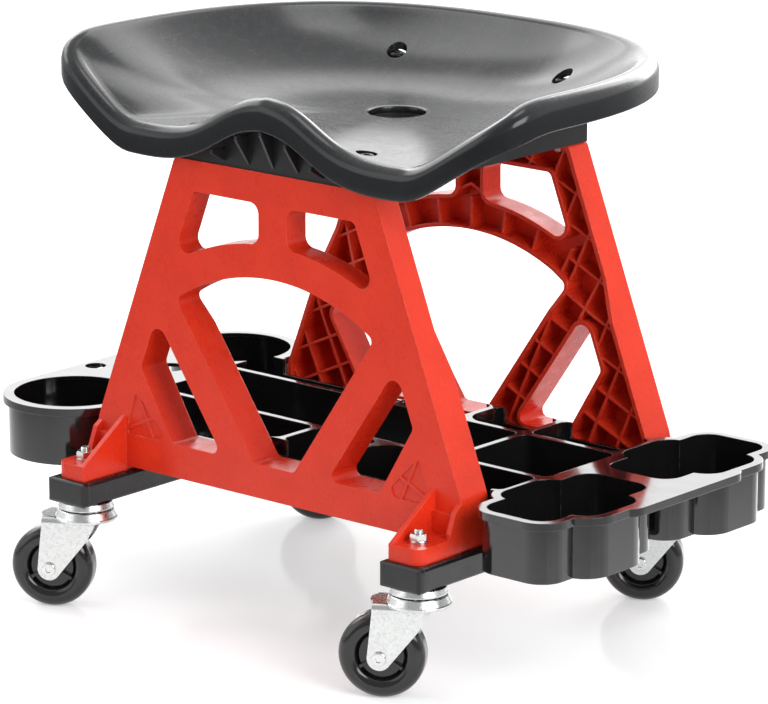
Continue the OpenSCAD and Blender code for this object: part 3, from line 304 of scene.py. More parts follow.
def moulded_skin():
    """Moulded plastic: fine grain on faint waves, soft edges, and masks for mottle, gloss and rubbing."""
    tree, given, out = new_group("Moulded skin", [
        ("Grain size", FLOAT, 0.0006), ("Grain depth", FLOAT, 0.05), ("Wave size", FLOAT, 0.03),
        ("Wave depth", FLOAT, 0.1), ("Edge", FLOAT, 0.0006), ("Relief", FLOAT, 0.0)],
        [("Mottle", FLOAT), ("Gloss", FLOAT), ("Rubbed", FLOAT), ("Normal", VECTOR)])
    place = object_place(tree)
    grain = noise(tree, place, maths(tree, "DIVIDE", 1.0, given["Grain size"]), detail=3.0, rough=0.6)
    wave = noise(tree, place, maths(tree, "DIVIDE", 1.0, given["Wave size"]), detail=1.0, rough=0.4,
        distort=0.3)
    soft = node(tree, "Bevel", {"Radius": given["Edge"]}, samples=BEVEL_SAMPLES).outputs[0]
    along = dot(tree, soft, node(tree, "NewGeometry").outputs["Normal"])
    patchy = noise(tree, place, scale=220.0, detail=3.0, rough=0.65)
    mottle = noise(tree, place, scale=38.0, detail=4.0, rough=0.6)
    gloss = noise(tree, place, scale=90.0, detail=5.0, rough=0.7)
    rubbed = maths(tree, "MULTIPLY", spread(tree, along, *EDGE_BAND), spread(tree, patchy, *RUBBED_BAND))
    waved = bump(tree, wave, given["Wave depth"], WAVE_RISE, soft)
    marked = bump(tree, given["Relief"], 1.0, RELIEF_RISE, waved)
    grained = bump(tree, grain, given["Grain depth"], GRAIN_RISE, marked)
    tree.links.new(spread(tree, mottle, *MOTTLE_BAND), out["Mottle"])
    tree.links.new(spread(tree, gloss, *MOTTLE_BAND), out["Gloss"])
    tree.links.new(rubbed, out["Rubbed"])
    tree.links.new(grained, out["Normal"])
    return tree


def sink_marks():
    """Faint dips in a face over a square lattice of ribs, given the place in the face's plane."""
    tree, given, out = new_group("Sink marks", [
        ("Across", FLOAT, 0.0), ("Along", FLOAT, 0.0), ("Pitch", FLOAT, 0.02), ("Turn", FLOAT, 0.0),
        ("Start", FLOAT, 0.0), ("Side start", FLOAT, 0.0), ("Width", FLOAT, 0.0022)], [("Height", FLOAT)])
    turn_cos, turn_sin = (maths(tree, kind, given["Turn"]) for kind in ("COSINE", "SINE"))
    half = maths(tree, "MULTIPLY", given["Pitch"], 0.5)
    marks = []
    for first, second, sign, start in (("Across", "Along", "SUBTRACT", "Side start"),
            ("Along", "Across", "ADD", "Start")):
        turned = maths(tree, sign, maths(tree, "MULTIPLY", given[first], turn_cos),
            maths(tree, "MULTIPLY", given[second], turn_sin))
        away = maths(tree, "PINGPONG", maths(tree, "SUBTRACT", turned, given[start]), half)
        marks.append(spread(tree, maths(tree, "DIVIDE", away, given["Width"]), 0.0, 1.0))
    tree.links.new(maths(tree, "MULTIPLY", marks[0], marks[1]), out["Height"])
    return tree


def plated_skin():
    """Zinc plate: a faint cloudiness, fine drawing lines, soft edges and masks for dull places."""
    tree, given, out = new_group("Plated skin", [
        ("Line size", FLOAT, 0.0003), ("Line depth", FLOAT, 0.08), ("Edge", FLOAT, 0.0003)],
        [("Cloud", FLOAT), ("Dull", FLOAT), ("Normal", VECTOR)])
    place = object_place(tree)
    drawn = node(tree, "Mapping", {"Vector": place, "Scale": DRAWN}).outputs[0]
    lines = noise(tree, drawn, maths(tree, "DIVIDE", LINE_SHARE, given["Line size"]), detail=3.0, rough=0.7)
    soft = node(tree, "Bevel", {"Radius": given["Edge"]}, samples=BEVEL_SAMPLES).outputs[0]
    bumped = bump(tree, lines, given["Line depth"], LINE_RISE, soft)
    cloud = noise(tree, place, scale=160.0, detail=4.0, rough=0.6)
    dull = noise(tree, place, scale=480.0, detail=5.0, rough=0.7, distort=0.4)
    tree.links.new(spread(tree, cloud, *CLOUD_BAND), out["Cloud"])
    tree.links.new(spread(tree, dull, *DULL_BAND), out["Dull"])
    tree.links.new(bumped, out["Normal"])
    return tree


def settled_dust():
    """Dust on the faces that look up, broken by a fine noise."""
    tree, given, out = new_group("Settled dust", [("Amount", FLOAT, 0.3), ("Speck size", FLOAT, 0.004)],
        [("Mask", FLOAT)])
    place = object_place(tree)
    up = node(tree, "SeparateXYZ", {0: node(tree, "NewGeometry").outputs["Normal"]}).outputs["Z"]
    broken = noise(tree, place, maths(tree, "DIVIDE", 1.0, given["Speck size"]), detail=6.0, rough=0.75)
    mask = maths(tree, "MULTIPLY", spread(tree, up, *UPWARD_BAND), spread(tree, broken, *DUST_BAND))
    tree.links.new(maths(tree, "MULTIPLY", mask, given["Amount"]), out["Mask"])
    return tree


EFFECT_MAKERS = {"Moulded skin": moulded_skin, "Sink marks": sink_marks, "Plated skin": plated_skin,
    "Settled dust": settled_dust}
EFFECTS = {}


def effect(tree, name, **values):
    """One of the shared effects placed in a material, with its own values."""
    if name not in EFFECTS:
        EFFECTS[name] = EFFECT_MAKERS[name]()
    made = tree.nodes.new("ShaderNodeGroup")
    made.node_tree = EFFECTS[name]
    for key, value in values.items():
        plug(tree, made.inputs[key.replace("_", " ")], value)
    return made.outputs


def new_material(name):
    """A material with nodes, its tree and its shader."""
    made = bpy.data.materials.new(name)
    made.use_nodes = True
    return made, made.node_tree, made.node_tree.nodes["Principled BSDF"]


def swung(tree, mask, middle, swing):
    """A value that wanders about its middle with a mask."""
    return node(tree, "MapRange", {"Value": mask, "To Min": middle - swing,
        "To Max": middle + swing}).outputs[0]


DUST_ROUGHENS = 0.3   # roughness that full dust adds
CLOUDED = 0.45        # share of the dull colour in the cloudiest zinc


def plastic(name, colour, deep, worn, roughness, rough_swing=0.06, dust=0.0,
        dust_colour=(0.3, 0.29, 0.27), coat=0.0, coat_rough=0.08, shine=0.5, relief=None, **skin):
    """Moulded plastic with mottle, gloss that wanders, rubbed edges and a little settled dust."""
    made, tree, shader = new_material(name)
    if relief is not None:
        skin["Relief"] = relief(tree)
    masks = effect(tree, "Moulded skin", **skin)
    base = mixed(tree, masks["Mottle"], rgba(deep), rgba(colour))
    base = mixed(tree, masks["Rubbed"], base, rgba(worn))
    rough = swung(tree, masks["Gloss"], roughness, rough_swing)
    if dust:
        settled = effect(tree, "Settled dust", Amount=dust)["Mask"]
        base = mixed(tree, settled, base, rgba(dust_colour))
        rough = maths(tree, "ADD", rough, maths(tree, "MULTIPLY", settled, DUST_ROUGHENS))
    tree.links.new(base, shader.inputs["Base Color"])
    tree.links.new(rough, shader.inputs["Roughness"])
    tree.links.new(masks["Normal"], shader.inputs["Normal"])
    shader.inputs["Specular IOR Level"].default_value = shine
    shader.inputs["Coat Weight"].default_value = coat
    shader.inputs["Coat Roughness"].default_value = coat_rough
    return made


def metal(name, colour, dull, roughness, swing=0.08, **skin):
    """Plated or turned metal."""
    made, tree, shader = new_material(name)
    masks = effect(tree, "Plated skin", **skin)
    cloudy = maths(tree, "MULTIPLY", masks["Cloud"], CLOUDED)
    base = mixed(tree, maths(tree, "MAXIMUM", cloudy, masks["Dull"]), rgba(colour), rgba(dull))
    tree.links.new(base, shader.inputs["Base Color"])
    tree.links.new(swung(tree, masks["Dull"], roughness, swing), shader.inputs["Roughness"])
    tree.links.new(masks["Normal"], shader.inputs["Normal"])
    shader.inputs["Metallic"].default_value = 1.0
    return made


def at_corners(*parts):
    """The nodes of the casters' parts, corner by corner."""
    return [f"{corner}_{part}" for corner in CORNERS for part in parts]


def dress(material, *names):
    """Gives a finish to CAD nodes."""
    for name in names:
        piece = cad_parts[name]
        if not piece.material_slots:
            piece.data.materials.append(material)
        for slot in piece.material_slots:
            slot.material = material


# ---------------------------------------------------------------- mesh tools

def grid_mesh(name, points, closed_rows=True):
    """A mesh over a grid of points[column, row], closed round the columns and, if asked, round the rows."""
    columns, rows = points.shape[:2]
    steps = rows if closed_rows else rows - 1
    i, j = np.meshgrid(np.arange(columns), np.arange(steps), indexing="ij")
    k, m = (i + 1) % columns, (j + 1) % rows
    faces = np.stack([i * rows + j, k * rows + j, k * rows + m, i * rows + m], axis=-1).reshape(-1, 4)
    mesh = bpy.data.meshes.new(name)
    mesh.from_pydata(points.reshape(-1, 3).tolist(), [], faces.tolist())
    mesh.validate()
    return mesh


def new_piece(name, mesh, material, body, slot, *replaced):
    """A shown piece in the row frame, riding on a body, with the CAD nodes that it replaces hidden."""
    piece = bpy.data.objects.new(name, mesh)
    bpy.context.scene.collection.objects.link(piece)
    mesh.materials.clear()
    mesh.materials.append(material)
    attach(piece, body)
    if replaced:
        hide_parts(*replaced)
    return piece


def cylinder_mesh(name, places, radius, low, high, segments=64):
    """Upright cylinders at the places (x, y), each from low[i] to high[i]."""
    made = bmesh.new()
    for (x, y), z0, z1 in zip(places, low, high):
        bmesh.ops.create_cone(made, cap_ends=True, segments=segments, radius1=radius, radius2=radius,
            depth=z1 - z0, matrix=Matrix.Translation((x, y, (z0 + z1) / 2)))
    mesh = bpy.data.meshes.new(name)
    made.to_mesh(mesh)
    made.free()
    return mesh


def cut_or_join(mesh, tools):
    """Applies a list of (operation, mesh) to a mesh with exact booleans, and returns the new mesh."""
    body = bpy.data.objects.new("work", mesh)
    bpy.context.scene.collection.objects.link(body)
    helpers = []
    for operation, tool in tools:
        helper = bpy.data.objects.new("tool", tool)
        bpy.context.scene.collection.objects.link(helper)
        helpers.append(helper)
        change = body.modifiers.new("change", "BOOLEAN")
        change.operation, change.object, change.solver = operation, helper, "EXACT"
    bpy.context.view_layer.update()
    done = bpy.data.meshes.new_from_object(body.evaluated_get(bpy.context.evaluated_depsgraph_get()))
    for item in [body, *helpers]:
        bpy.data.objects.remove(item)
    return done


def smooth(mesh, degrees=40):
    """Smooth shading with an edge where two faces meet at more than the angle."""
    mesh.shade_smooth()
    mesh.set_sharp_from_angle(angle=math.radians(degrees))
    return mesh


# ---------------------------------------------------------------- the seat's form

class SeatForm:
    """The seat's surface: a dish that rises by a power law to a rolled rim that dips for the legs."""
    FRONT_POWER, REAR_POWER, BOWL_POWER, REAR_RISE = 6.9, 2.5, 3.2, 0.003
    PROBE = math.radians(0.2)   # step of the crest's angle to its neighbours
    HALVINGS = 40               # steps of the search for a heading's place on the crest
    ROLL_STEPS, INNER_ROLL_STEPS, EDGE_STEPS = 16, 10, 3

    def __init__(self, s):
        self.s = s

    def ease(self, t):
        return (1 - np.cos(np.pi * np.clip(t, 0, 1))) / 2

    def crest(self, a):
        """The crest's points at angles from the front."""
        s, q = self.s, np.abs(a)
        front = q < math.pi / 2
        power = np.where(front, self.FRONT_POWER, self.REAR_POWER)
        reach = np.where(front, s.front, s.rear)
        across, along = np.abs(np.sin(a)) / s.half_width, np.abs(np.cos(a)) / reach
        radius = (across ** power + along ** power) ** (-1 / power)
        wide = np.where(q < s.leg, s.dip_inner, s.dip_outer)
        z = (s.pommel + (s.side - s.pommel) * self.ease(q / (math.pi / 2))
            + s.side * self.REAR_RISE * self.ease((q - math.pi / 2) / (math.pi / 2))
            - s.dip * np.exp(-((q - s.leg) / wide) ** 2))
        return radius * np.sin(a), -s.line - radius * np.cos(a), z

    def columns(self, heading):
        """Crest point, outward direction and the dish's slope at the rim, for headings from the front."""
        s, q = self.s, np.abs(heading)
        low, high = np.zeros_like(q), np.full_like(q, math.pi)
        for _ in range(self.HALVINGS):
            middle = (low + high) / 2
            x, y, _z = self.crest(middle)
            short = np.arctan2(x, s.bowl_y - y) < q
            low, high = np.where(short, middle, low), np.where(short, high, middle)
        a = (low + high) / 2
        x, y, z = self.crest(a)
        ahead, behind = self.crest(a + self.PROBE), self.crest(a - self.PROBE)
        tx, ty = ahead[0] - behind[0], ahead[1] - behind[1]
        size = np.hypot(tx, ty)
        nx, ny = ty / size, -tx / size
        fx, fy = x, y - s.bowl_y
        dist = np.hypot(fx, fy)
        facing = (nx * fx + ny * fy) / dist
        nx, ny, facing = nx * np.sign(facing), ny * np.sign(facing), np.abs(facing)
        slope = np.arctan(self.BOWL_POWER * (z - s.bowl) / dist / facing)
        side = np.where(heading < 0, -1.0, 1.0)
        return x * side, y, z, nx * side, ny, slope

    def rolled(self, c, radius, turn):
        """Points on the rolled rim, at a turn from its top."""
        x, y, z, nx, ny, _slope = c
        return np.stack([x + nx * radius * np.sin(turn), y + ny * radius * np.sin(turn),
            z - self.s.roll + radius * np.cos(turn)], axis=-1)

    def dished(self, c, r_share, depth, start):
        """A point of the dish at a share of the way from the radius start to the rim, sunk by depth."""
        s = self.s
        end = self.rolled(c, s.roll, -c[5])
        fx, fy = end[:, 0], end[:, 1] - s.bowl_y
        dist = np.hypot(fx, fy)
        r = start + (dist - start) * r_share
        rise = (end[:, 2] - s.bowl) * (r / dist) ** self.BOWL_POWER
        lean = np.arctan(self.BOWL_POWER * rise / r)
        out = r + depth * np.sin(lean)
        return np.stack([fx / dist * out, s.bowl_y + fy / dist * out,
            s.bowl + rise - depth * np.cos(lean)], axis=-1)

    def dish_height(self, x, y):
        """Height of the dish over a place, for a shell of even thickness."""
        s = self.s
        c = self.columns(np.array([math.atan2(x, s.bowl_y - y)]))
        end = self.rolled(c, s.roll, -c[5])[0]
        dist, r = math.hypot(end[0], end[1] - s.bowl_y), math.hypot(x, y - s.bowl_y)
        rise = (end[2] - s.bowl) * (r / dist) ** self.BOWL_POWER
        lean = math.atan(self.BOWL_POWER * rise / r)
        return s.bowl + rise + s.shell - s.shell / math.cos(lean)

    def underside_near(self, x, y, away):
        """Height of the dish's underside at a distance from x, y toward the middle."""
        s = self.s
        size = math.hypot(x, s.bowl_y - y)
        x, y = x - x / size * away, y + (s.bowl_y - y) / size * away
        return self.dish_height(x, y) - s.shell

    def grid(self):
        """All points of the shell, column by column, each column a closed loop through the shell."""
        s = self.s
        headings = 2 * math.pi * (np.arange(s.columns) + 0.5) / s.columns - math.pi
        c = self.columns(headings)
        slope, start = c[5], s.hole
        shares = np.linspace(0, 1, s.rows + 1)[1:-1]
        loop = [self.lip(c, k, 0.0) for k in (0, 1, 2)]
        loop += [self.dished(c, q, 0.0, start + s.edge) for q in shares]
        loop += [self.rolled(c, s.roll, -slope + (math.pi / 2 + slope) * i / self.ROLL_STEPS)
            for i in range(self.ROLL_STEPS + 1)]
        side, inner = self.rolled(c, s.roll, np.pi / 2), self.rolled(c, s.roll - s.shell, np.pi / 2)
        drop = s.skirt - s.roll
        out = np.stack([c[3], c[4], np.zeros_like(c[3])], axis=-1)
        for i in range(self.EDGE_STEPS + 1):
            t = math.pi / 2 * i / self.EDGE_STEPS
            point = side - out * s.edge * (1 - math.cos(t))
            point[:, 2] -= drop - s.edge * (1 - math.sin(t))
            loop.append(point)
        for i in range(self.EDGE_STEPS + 1):
            t = math.pi / 2 * i / self.EDGE_STEPS
            point = inner + out * s.edge * (1 - math.sin(t))
            point[:, 2] -= drop - s.edge * (1 - math.cos(t))
            loop.append(point)
        loop += [self.rolled(c, s.roll - s.shell, -slope + (math.pi / 2 + slope) * i / self.INNER_ROLL_STEPS)
            for i in range(self.INNER_ROLL_STEPS, -1, -1)]
        loop += [self.dished(c, q, s.shell, start + s.edge) for q in shares[::-1]]
        loop += [self.lip(c, k, s.shell) for k in (2, 0)]
        return np.stack(loop, axis=1)

    def lip(self, c, k, depth):
        """The rounded edge of the hole: 0 on the wall, 2 on the dish."""
        s = self.s
        t = math.pi / 2 * k / 2
        point = self.dished(c, 0.0, 0.0, s.hole + s.edge * (1 - math.cos(t)))
        point[:, 2] += -depth if depth else -s.edge * (1 - math.sin(t))
        if depth and k == 0:
            point = self.dished(c, 0.0, 0.0, s.hole)
            point[:, 2] -= depth
        return point


def seat_places(s):
    """The seat screws' places in X and Y."""
    return [(side * s.screw_x, MIDDLE_Y + end * s.screw_y) for end in (-1, 1) for side in (-1, 1)]


# ---------------------------------------------------------------- operators

class PieceOperator:
    """What the operators share"""
    bl_options = {"REGISTER"}

    def execute(self, context):
        """Makes or finishes the operator's pieces with the scene's settings."""
        self.make(context.scene.creeper)
        return {"FINISHED"}


class CREEPER_OT_seat(PieceOperator, bpy.types.Operator):
    """Makes the dished seat with its rolled rim, hole and screw recesses"""
    bl_idname = "creeper.seat"
    bl_label = "Seat"
    HOLE_SEGMENTS = 32
    WELL_REACH = 4         # how far a recess is cut up from its floor, in shells
    MARK_HEIGHT = -0.045   # height of the marks over the ribs, in millimetres

    def make(self, settings):
        s = settings.seat
        form = SeatForm(s)
        points = form.grid()
        points[..., 1] += MIDDLE_Y
        points[..., 2] += PANELS_TOP
        shell = grid_mesh("seat_shell", points)
        places = seat_places(s)
        floors = [PANELS_TOP + form.dish_height(x, y - MIDDLE_Y) - s.well_depth for x, y in places]
        lows = [min(z - s.boss, PANELS_TOP + form.underside_near(x, y - MIDDLE_Y, s.well + s.edge + s.rest))
            for z, (x, y) in zip(floors, places)]
        tools = [
            ("UNION", cylinder_mesh("bosses", places, s.well + s.edge, lows, floors)),
            ("DIFFERENCE", cylinder_mesh("wells", places, s.well, floors,
                [z + self.WELL_REACH * s.shell for z in floors])),
            ("DIFFERENCE", cylinder_mesh("holes", places, s.screw_hole, [z - s.shell for z in lows],
                [z + s.shell for z in floors], self.HOLE_SEGMENTS)),
        ]
        mesh = smooth(cut_or_join(shell, tools))

        def relief(tree):
            place = object_place(tree)
            axes = node(tree, "SeparateXYZ", {0: place}).outputs
            marks = effect(tree, "Sink marks", Across=maths(tree, "ABSOLUTE", axes["X"]),
                Along=maths(tree, "SUBTRACT", axes["Y"], MIDDLE_Y), Pitch=s.rib_pitch,
                Width=0.0012)["Height"]
            broken = spread(tree, noise(tree, place, scale=24.0, rough=0.6), *BROKEN_BAND)
            return maths(tree, "MULTIPLY", maths(tree, "MULTIPLY", marks, broken), self.MARK_HEIGHT)

        finish = plastic("seat plastic", s.colour, darker(s.colour, 0.85), s.worn, s.roughness,
            rough_swing=0.05, dust=0.05, coat=0.6, coat_rough=s.coat_roughness, shine=0.15, relief=relief,
            Grain_size=0.0007, Grain_depth=0.04, Wave_size=0.05, Wave_depth=0.05, Edge=0.0008)
        new_piece("seat_shell", mesh, finish, "frame", "seat_plastic", "seat_pan")


class CREEPER_OT_panels(PieceOperator, bpy.types.Operator):
    """Finishes the two red side panels"""
    bl_idname = "creeper.panels"
    bl_label = "Side panels"
    MARK_HEIGHT = 0.05   # height of the marks over the ribs, in millimetres

    def make(self, settings):
        s = settings.panel

        def relief(tree):
            axes = node(tree, "SeparateXYZ", {0: object_place(tree)}).outputs
            marks = effect(tree, "Sink marks", Across=maths(tree, "ABSOLUTE", axes["X"]),
                Along=maths(tree, "SUBTRACT", axes["Z"], PANELS_FOOT), Pitch=s.pitch, Turn=s.turn,
                Start=s.start, Side_start=s.side_start, Width=0.0032)["Height"]
            return maths(tree, "MULTIPLY", marks, self.MARK_HEIGHT)

        dress(plastic("panel plastic", s.colour, s.deep, s.worn, s.roughness, rough_swing=0.07, dust=0.03,
            shine=0.3, relief=relief, Grain_size=0.0009, Grain_depth=0.05, Wave_size=0.035, Wave_depth=0.12,
            Edge=s.edge), "front_panel", "rear_panel")


class CREEPER_OT_base(PieceOperator, bpy.types.Operator):
    """Finishes the ribbed base under the seat"""
    bl_idname = "creeper.base"
    bl_label = "Seat base"

    def make(self, settings):
        s = settings.base
        dress(plastic("base plastic", s.base, darker(s.base), (0.05, 0.05, 0.053), 0.42, dust=0.1,
            Grain_size=0.0006, Grain_depth=0.12, Wave_size=0.02, Wave_depth=0.08, Edge=0.0004), "seat_base")


class CREEPER_OT_tray(PieceOperator, bpy.types.Operator):
    """Finishes the moulded tool tray"""
    bl_idname = "creeper.tray"
    bl_label = "Tool tray"

    def make(self, settings):
        s = settings.base
        dress(plastic("tray plastic", s.tray, darker(s.tray), s.tray_worn, s.tray_roughness,
            rough_swing=0.05, dust=0.06, dust_colour=(0.2, 0.2, 0.2), coat=0.6, Grain_size=0.0012,
            Grain_depth=0.02, Wave_size=0.02, Wave_depth=0.1, Edge=s.edge), "tool_tray")


class CREEPER_OT_rails(PieceOperator, bpy.types.Operator):
    """Finishes the two painted rails and their end caps"""
    bl_idname = "creeper.rails"
    bl_label = "Rails"

    def make(self, settings):
        s = settings.base
        dress(plastic("rail paint", s.rail, darker(s.rail), (0.09, 0.085, 0.08), 0.24,
            rough_swing=0.06, dust=0.1, coat=0.2, Grain_size=0.0015, Grain_depth=0.16, Wave_size=0.012,
            Wave_depth=0.1, Edge=0.0005), "left_rail", "right_rail")
        dress(plastic("cap plastic", (0.01, 0.01, 0.011), (0.007, 0.007, 0.008), (0.04, 0.04, 0.042), 0.38,
            Grain_size=0.0008, Grain_depth=0.12, Edge=0.0006), "rail_end_caps")


class CREEPER_OT_fasteners(PieceOperator, bpy.types.Operator):
    """Finishes the screws, nuts and washers"""
    bl_idname = "creeper.fasteners"
    bl_label = "Fasteners"

    def make(self, settings):
        s = settings.metal
        dress(metal("zinc plate", s.zinc, s.zinc_dull, 0.22, Edge=0.0002), "seat_nuts", "tray_screws",
            "foot_washers", "foot_nuts", *at_corners("axle", "axle_nut"))
        dress(metal("blackened steel", (0.03, 0.03, 0.032), (0.015, 0.015, 0.016), 0.4, Edge=0.0002),
            "front_seat_screws", "rear_seat_screws")


class CREEPER_OT_studs(PieceOperator, bpy.types.Operator):
    """Makes the casters' stems with their thread"""
    bl_idname = "creeper.studs"
    bl_label = "Threaded stems"

    NECK, STUD = 0.004, 0.003            # radii in the race and above it
    HEAD, BEVEL = 0.0024, 0.0006         # the head's height, and the bevel at both ends
    SHOULDER, STEP = 0.0003, 0.0001      # the shoulder over the race's foot, and its height
    ROUND_STEPS, PITCH_STEPS = 40, 8     # points round the stem, and rows to a turn of the thread
    STEEP, ROOT = 1.5, 0.25              # slope and flat of the thread's groove

    def make(self, settings):
        s = settings.metal
        finish = bpy.data.materials["zinc plate"]
        for corner in CORNERS:
            low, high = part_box(f"{corner}_stem")
            points = self.points(s, low, high)
            name = f"{corner}_threaded_stem"
            mesh = self.closed(grid_mesh(name, points, closed_rows=False))
            new_piece(name, smooth(mesh), finish, "frame", "zinc", f"{corner}_stem")

    def points(self, s, low, high):
        """The stem's points, row by row from the head's foot to the stud's top."""
        middle = (low + high) / 2
        head, thread_start = (high.x - low.x) / 2, high.z - s.thread_length
        head_top, shoulder = low.z + self.HEAD, RACES_FOOT + self.SHOULDER
        turns = 2 * math.pi * np.arange(self.ROUND_STEPS) / self.ROUND_STEPS

        def ring(radius, z):
            return np.stack([np.cos(turns) * radius, np.sin(turns) * radius,
                np.full(self.ROUND_STEPS, z)], axis=-1)

        rows = [ring(0.0, low.z), ring(head - self.BEVEL, low.z), ring(head, low.z + self.BEVEL),
            ring(head, head_top), ring(self.NECK, head_top), ring(self.NECK, shoulder - self.STEP),
            ring(self.STUD, shoulder), ring(self.STUD, thread_start)]
        for z in np.arange(thread_start, high.z, s.thread_pitch / self.PITCH_STEPS):
            phase = np.mod(z / s.thread_pitch - turns / (2 * math.pi), 1.0)
            groove = np.clip(self.STEEP * (1 - 2 * np.abs(phase - 0.5)) - self.ROOT, 0, 1)
            bevelled = self.STUD - max(0.0, self.BEVEL - (high.z - z))
            rows.append(ring(np.minimum(self.STUD - s.thread_depth * groove, bevelled), z))
        rows += [ring(self.STUD - self.BEVEL, high.z), ring(0.0, high.z)]
        return np.stack(rows, axis=1) + np.array([middle.x, middle.y, 0.0])

    def closed(self, mesh):
        """The mesh with its end rows drawn together and its faces turned outward."""
        made = bmesh.new()
        made.from_mesh(mesh)
        bmesh.ops.remove_doubles(made, verts=made.verts, dist=1e-7)
        bmesh.ops.recalc_face_normals(made, faces=made.faces)
        made.to_mesh(mesh)
        made.free()
        return mesh


class CREEPER_OT_casters(PieceOperator, bpy.types.Operator):
    """Finishes the casters: forks, races, balls, sleeves and wheels"""
    bl_idname = "creeper.casters"
    bl_label = "Casters"

    def make(self, settings):
        s, w = settings.metal, settings.wheel
        dress(metal("fork zinc", s.zinc, s.zinc_dull, 0.3, Line_size=0.0004, Line_depth=0.1, Edge=0.0005),
            *at_corners("fork", "race"))
        dress(metal("turned steel", s.steel, darker(s.steel), 0.26), *at_corners("sleeve"))
        dress(metal("polished steel", (0.72, 0.72, 0.73), (0.6, 0.6, 0.61), 0.12, swing=0.04),
            *at_corners("balls"))
        dress(plastic("wheel plastic", w.colour, darker(w.colour), (0.06, 0.06, 0.062), w.roughness,
            dust=0.1, dust_colour=w.dust, coat=0.3, Grain_size=0.0014, Grain_depth=0.03, Wave_size=0.01,
            Wave_depth=0.05, Edge=0.0008), *at_corners("wheel"))


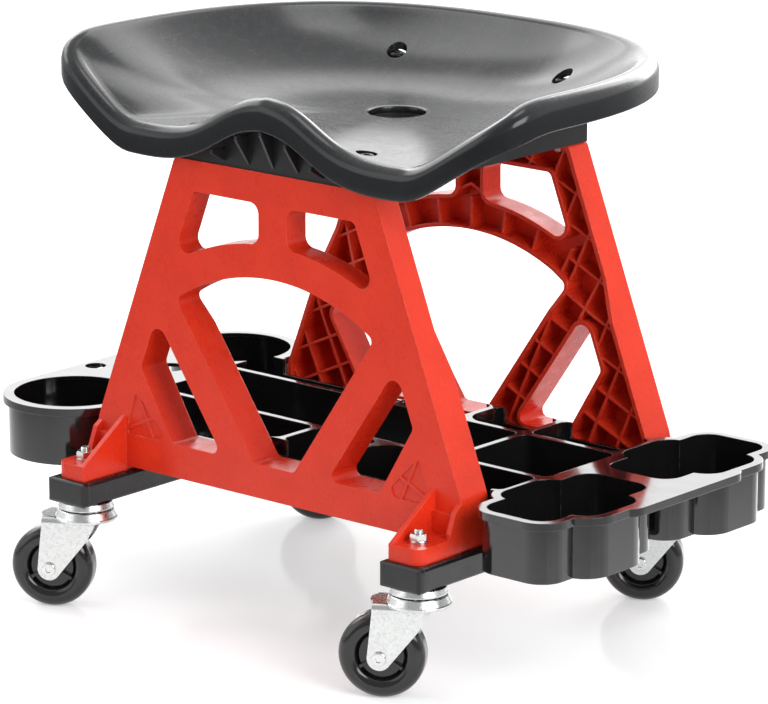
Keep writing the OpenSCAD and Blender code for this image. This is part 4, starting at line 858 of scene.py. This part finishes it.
class CREEPER_OT_studio(PieceOperator, bpy.types.Operator):
    """Makes the pale floor, the soft lights, the sky and the camera"""
    bl_idname = "creeper.studio"
    bl_label = "Studio"

    FLOOR_HALF = 30.0
    FLOOR_ROUGHNESS, FLOOR_IOR = 0.12, 1.1
    AIM = Vector((0.0, 0.0, 0.16))       # where the lamps point
    SENSOR, FAR_CLIP = 36.0, 100.0
    LAMPS = (   # name, place and size
        ("key", (2.3, -0.4, 1.3), (1.6, 1.4)),
        ("fill", (-1.2, -2.2, 1.0), (1.6, 1.6)),
        ("rear", (-0.37, 2.3, 1.15), (1.5, 1.6)),
        ("top", (0.05, 0.1, 2.6), (0.8, 0.8)),
        ("near", (-0.19, 0.075, 0.53), (0.12, 0.12)),
        ("left", (-1.8, 0.06, 1.4), (2.0, 0.8)))
    # Directions in the sky: the room's front side, the backdrop and the pale screen at the left
    FRONT, BACKDROP, SCREEN = (0.6, -0.78, 0.1), (-0.469, 0.883, 0.0), (-0.642, 0.539, 0.545)
    # Bands of the cosine to each of them over which its light sets in, and of height for the backdrop
    FRONT_BAND, BACKDROP_BAND, SCREEN_BAND = (-0.1, 0.7), (0.7, 0.84), (0.94, 0.985)
    BACKDROP_HEIGHT = (0.6, 0.38)

    def make(self, settings):
        s = settings.studio
        scene = bpy.context.scene
        self.lay_floor(scene, s)
        self.sky(scene, s)
        for name, place, size in self.LAMPS:
            lamp = bpy.data.lights.new(f"{name} lamp", "AREA")
            lamp.shape, lamp.size, lamp.size_y = "RECTANGLE", *size
            lamp.energy = getattr(s, name)
            holder = self.stand(scene, f"{name} lamp", lamp, Vector(place), self.AIM)
            holder.visible_camera = False
        camera = bpy.data.cameras.new("camera")
        camera.lens, camera.sensor_width, camera.clip_end = s.lens, self.SENSOR, self.FAR_CLIP
        scene.camera = self.stand(scene, "camera", camera, Vector(s.eye), Vector(s.target))
        scene.view_settings.view_transform = "Standard"

    def stand(self, scene, name, data, place, target):
        """Puts a lamp or a camera at a place and turns it to a target."""
        holder = bpy.data.objects.new(name, data)
        scene.collection.objects.link(holder)
        holder.location = place
        holder.rotation_euler = (target - place).to_track_quat("-Z", "Y").to_euler()
        return holder

    def lay_floor(self, scene, s):
        half = self.FLOOR_HALF
        mesh = bpy.data.meshes.new("floor")
        mesh.from_pydata([(-half, -half, 0), (half, -half, 0), (half, half, 0), (-half, half, 0)], [],
            [(0, 1, 2, 3)])
        floor = bpy.data.objects.new("floor", mesh)
        scene.collection.objects.link(floor)
        mesh.materials.append(self.floor_finish(s))

    def seen(self, tree, gloss=1.0):
        """1 for rays from the camera and through glass, and a share of that for rays from gloss."""
        path = node(tree, "LightPath").outputs
        straight = maths(tree, "MAXIMUM", path["Is Camera Ray"], path["Is Transmission Ray"])
        return maths(tree, "MAXIMUM", straight, maths(tree, "MULTIPLY", path["Is Glossy Ray"], gloss))

    def floor_finish(self, s):
        """A pale floor that keeps the object's shadow, and is dimmer far away where gloss shows it."""
        made, tree, shader = new_material("studio floor")
        away = node(tree, "VectorMath", {0: object_place(tree)}, operation="LENGTH").outputs["Value"]
        dim = spread(tree, away, s.floor_near, s.floor_far, 1.0, s.floor_gloss)
        lost = maths(tree, "MULTIPLY", node(tree, "LightPath").outputs["Is Glossy Ray"],
            maths(tree, "SUBTRACT", 1.0, dim))
        tree.links.new(mixed(tree, lost, rgba(s.floor), rgba((0.0, 0.0, 0.0))), shader.inputs["Base Color"])
        shader.inputs["Roughness"].default_value = self.FLOOR_ROUGHNESS
        shader.inputs["IOR"].default_value = self.FLOOR_IOR
        shader.inputs["Emission Color"].default_value = rgba((1.0, 1.0, 1.0))
        lift = maths(tree, "MULTIPLY", self.seen(tree, dim), s.floor_lift)
        tree.links.new(lift, shader.inputs["Emission Strength"])
        return made

    def sky(self, scene, s):
        """An even sky that the camera sees white, and that gloss sees with a bright backdrop and screen."""
        world = bpy.data.worlds.new("studio sky")
        scene.world = world
        world.use_nodes = True
        tree = world.node_tree
        heading = node(tree, "TexCoord").outputs["Generated"]
        height = node(tree, "SeparateXYZ", {0: heading}).outputs["Z"]
        ahead, behind, beside = (dot(tree, heading, way) for way in (self.FRONT, self.BACKDROP, self.SCREEN))
        gloss = spread(tree, ahead, *self.FRONT_BAND, 1.0, s.front_gloss)
        glow = maths(tree, "MULTIPLY", spread(tree, behind, *self.BACKDROP_BAND),
            spread(tree, height, *self.BACKDROP_HEIGHT))
        glow = maths(tree, "MAXIMUM", glow, spread(tree, beside, *self.SCREEN_BAND))
        gloss = maths(tree, "ADD", gloss, maths(tree, "MULTIPLY", glow, s.back_glow))
        plain = node(tree, "MapRange", {"Value": self.seen(tree), "To Min": s.world,
            "To Max": 1.0}).outputs[0]
        path = node(tree, "LightPath").outputs["Is Glossy Ray"]
        strength = node(tree, "Mix", {"Factor": path, "A": plain, "B": gloss}).outputs[0]
        background = tree.nodes["Background"]
        background.inputs["Color"].default_value = rgba((1.0, 1.0, 1.0))
        tree.links.new(strength, background.inputs["Strength"])


OPERATORS = (CREEPER_OT_seat, CREEPER_OT_panels, CREEPER_OT_base, CREEPER_OT_tray, CREEPER_OT_rails,
    CREEPER_OT_fasteners, CREEPER_OT_studs, CREEPER_OT_casters, CREEPER_OT_studio)


class CREEPER_PT_pieces(bpy.types.Panel):
    """The seat's pieces and their settings"""
    bl_idname = "CREEPER_PT_pieces"
    bl_label = "Creeper seat"
    bl_space_type = "VIEW_3D"
    bl_region_type = "UI"
    bl_category = "Creeper seat"

    def draw(self, context):
        for operator in OPERATORS:
            self.layout.operator(operator.bl_idname)
        settings = context.scene.creeper
        for label in ("seat", "panel", "base", "metal", "wheel", "studio"):
            box = self.layout.box()
            box.label(text=label.capitalize())
            part = getattr(settings, label)
            for name in part.__annotations__:
                box.prop(part, name)


CLASSES = (SeatSettings, PanelSettings, BaseSettings, MetalSettings, WheelSettings, StudioSettings,
    CreeperSettings, *OPERATORS, CREEPER_PT_pieces)


def register():
    for item in CLASSES:
        bpy.utils.register_class(item)
    bpy.types.Scene.creeper = bpy.props.PointerProperty(type=CreeperSettings)


def unregister():
    del bpy.types.Scene.creeper
    for item in reversed(CLASSES):
        bpy.utils.unregister_class(item)


def main():
    register()
    for operator in OPERATORS:
        group, name = operator.bl_idname.split(".")
        getattr(getattr(bpy.ops, group), name)()
    bpy.context.view_layer.update()


if __name__ == "__main__":
    main()
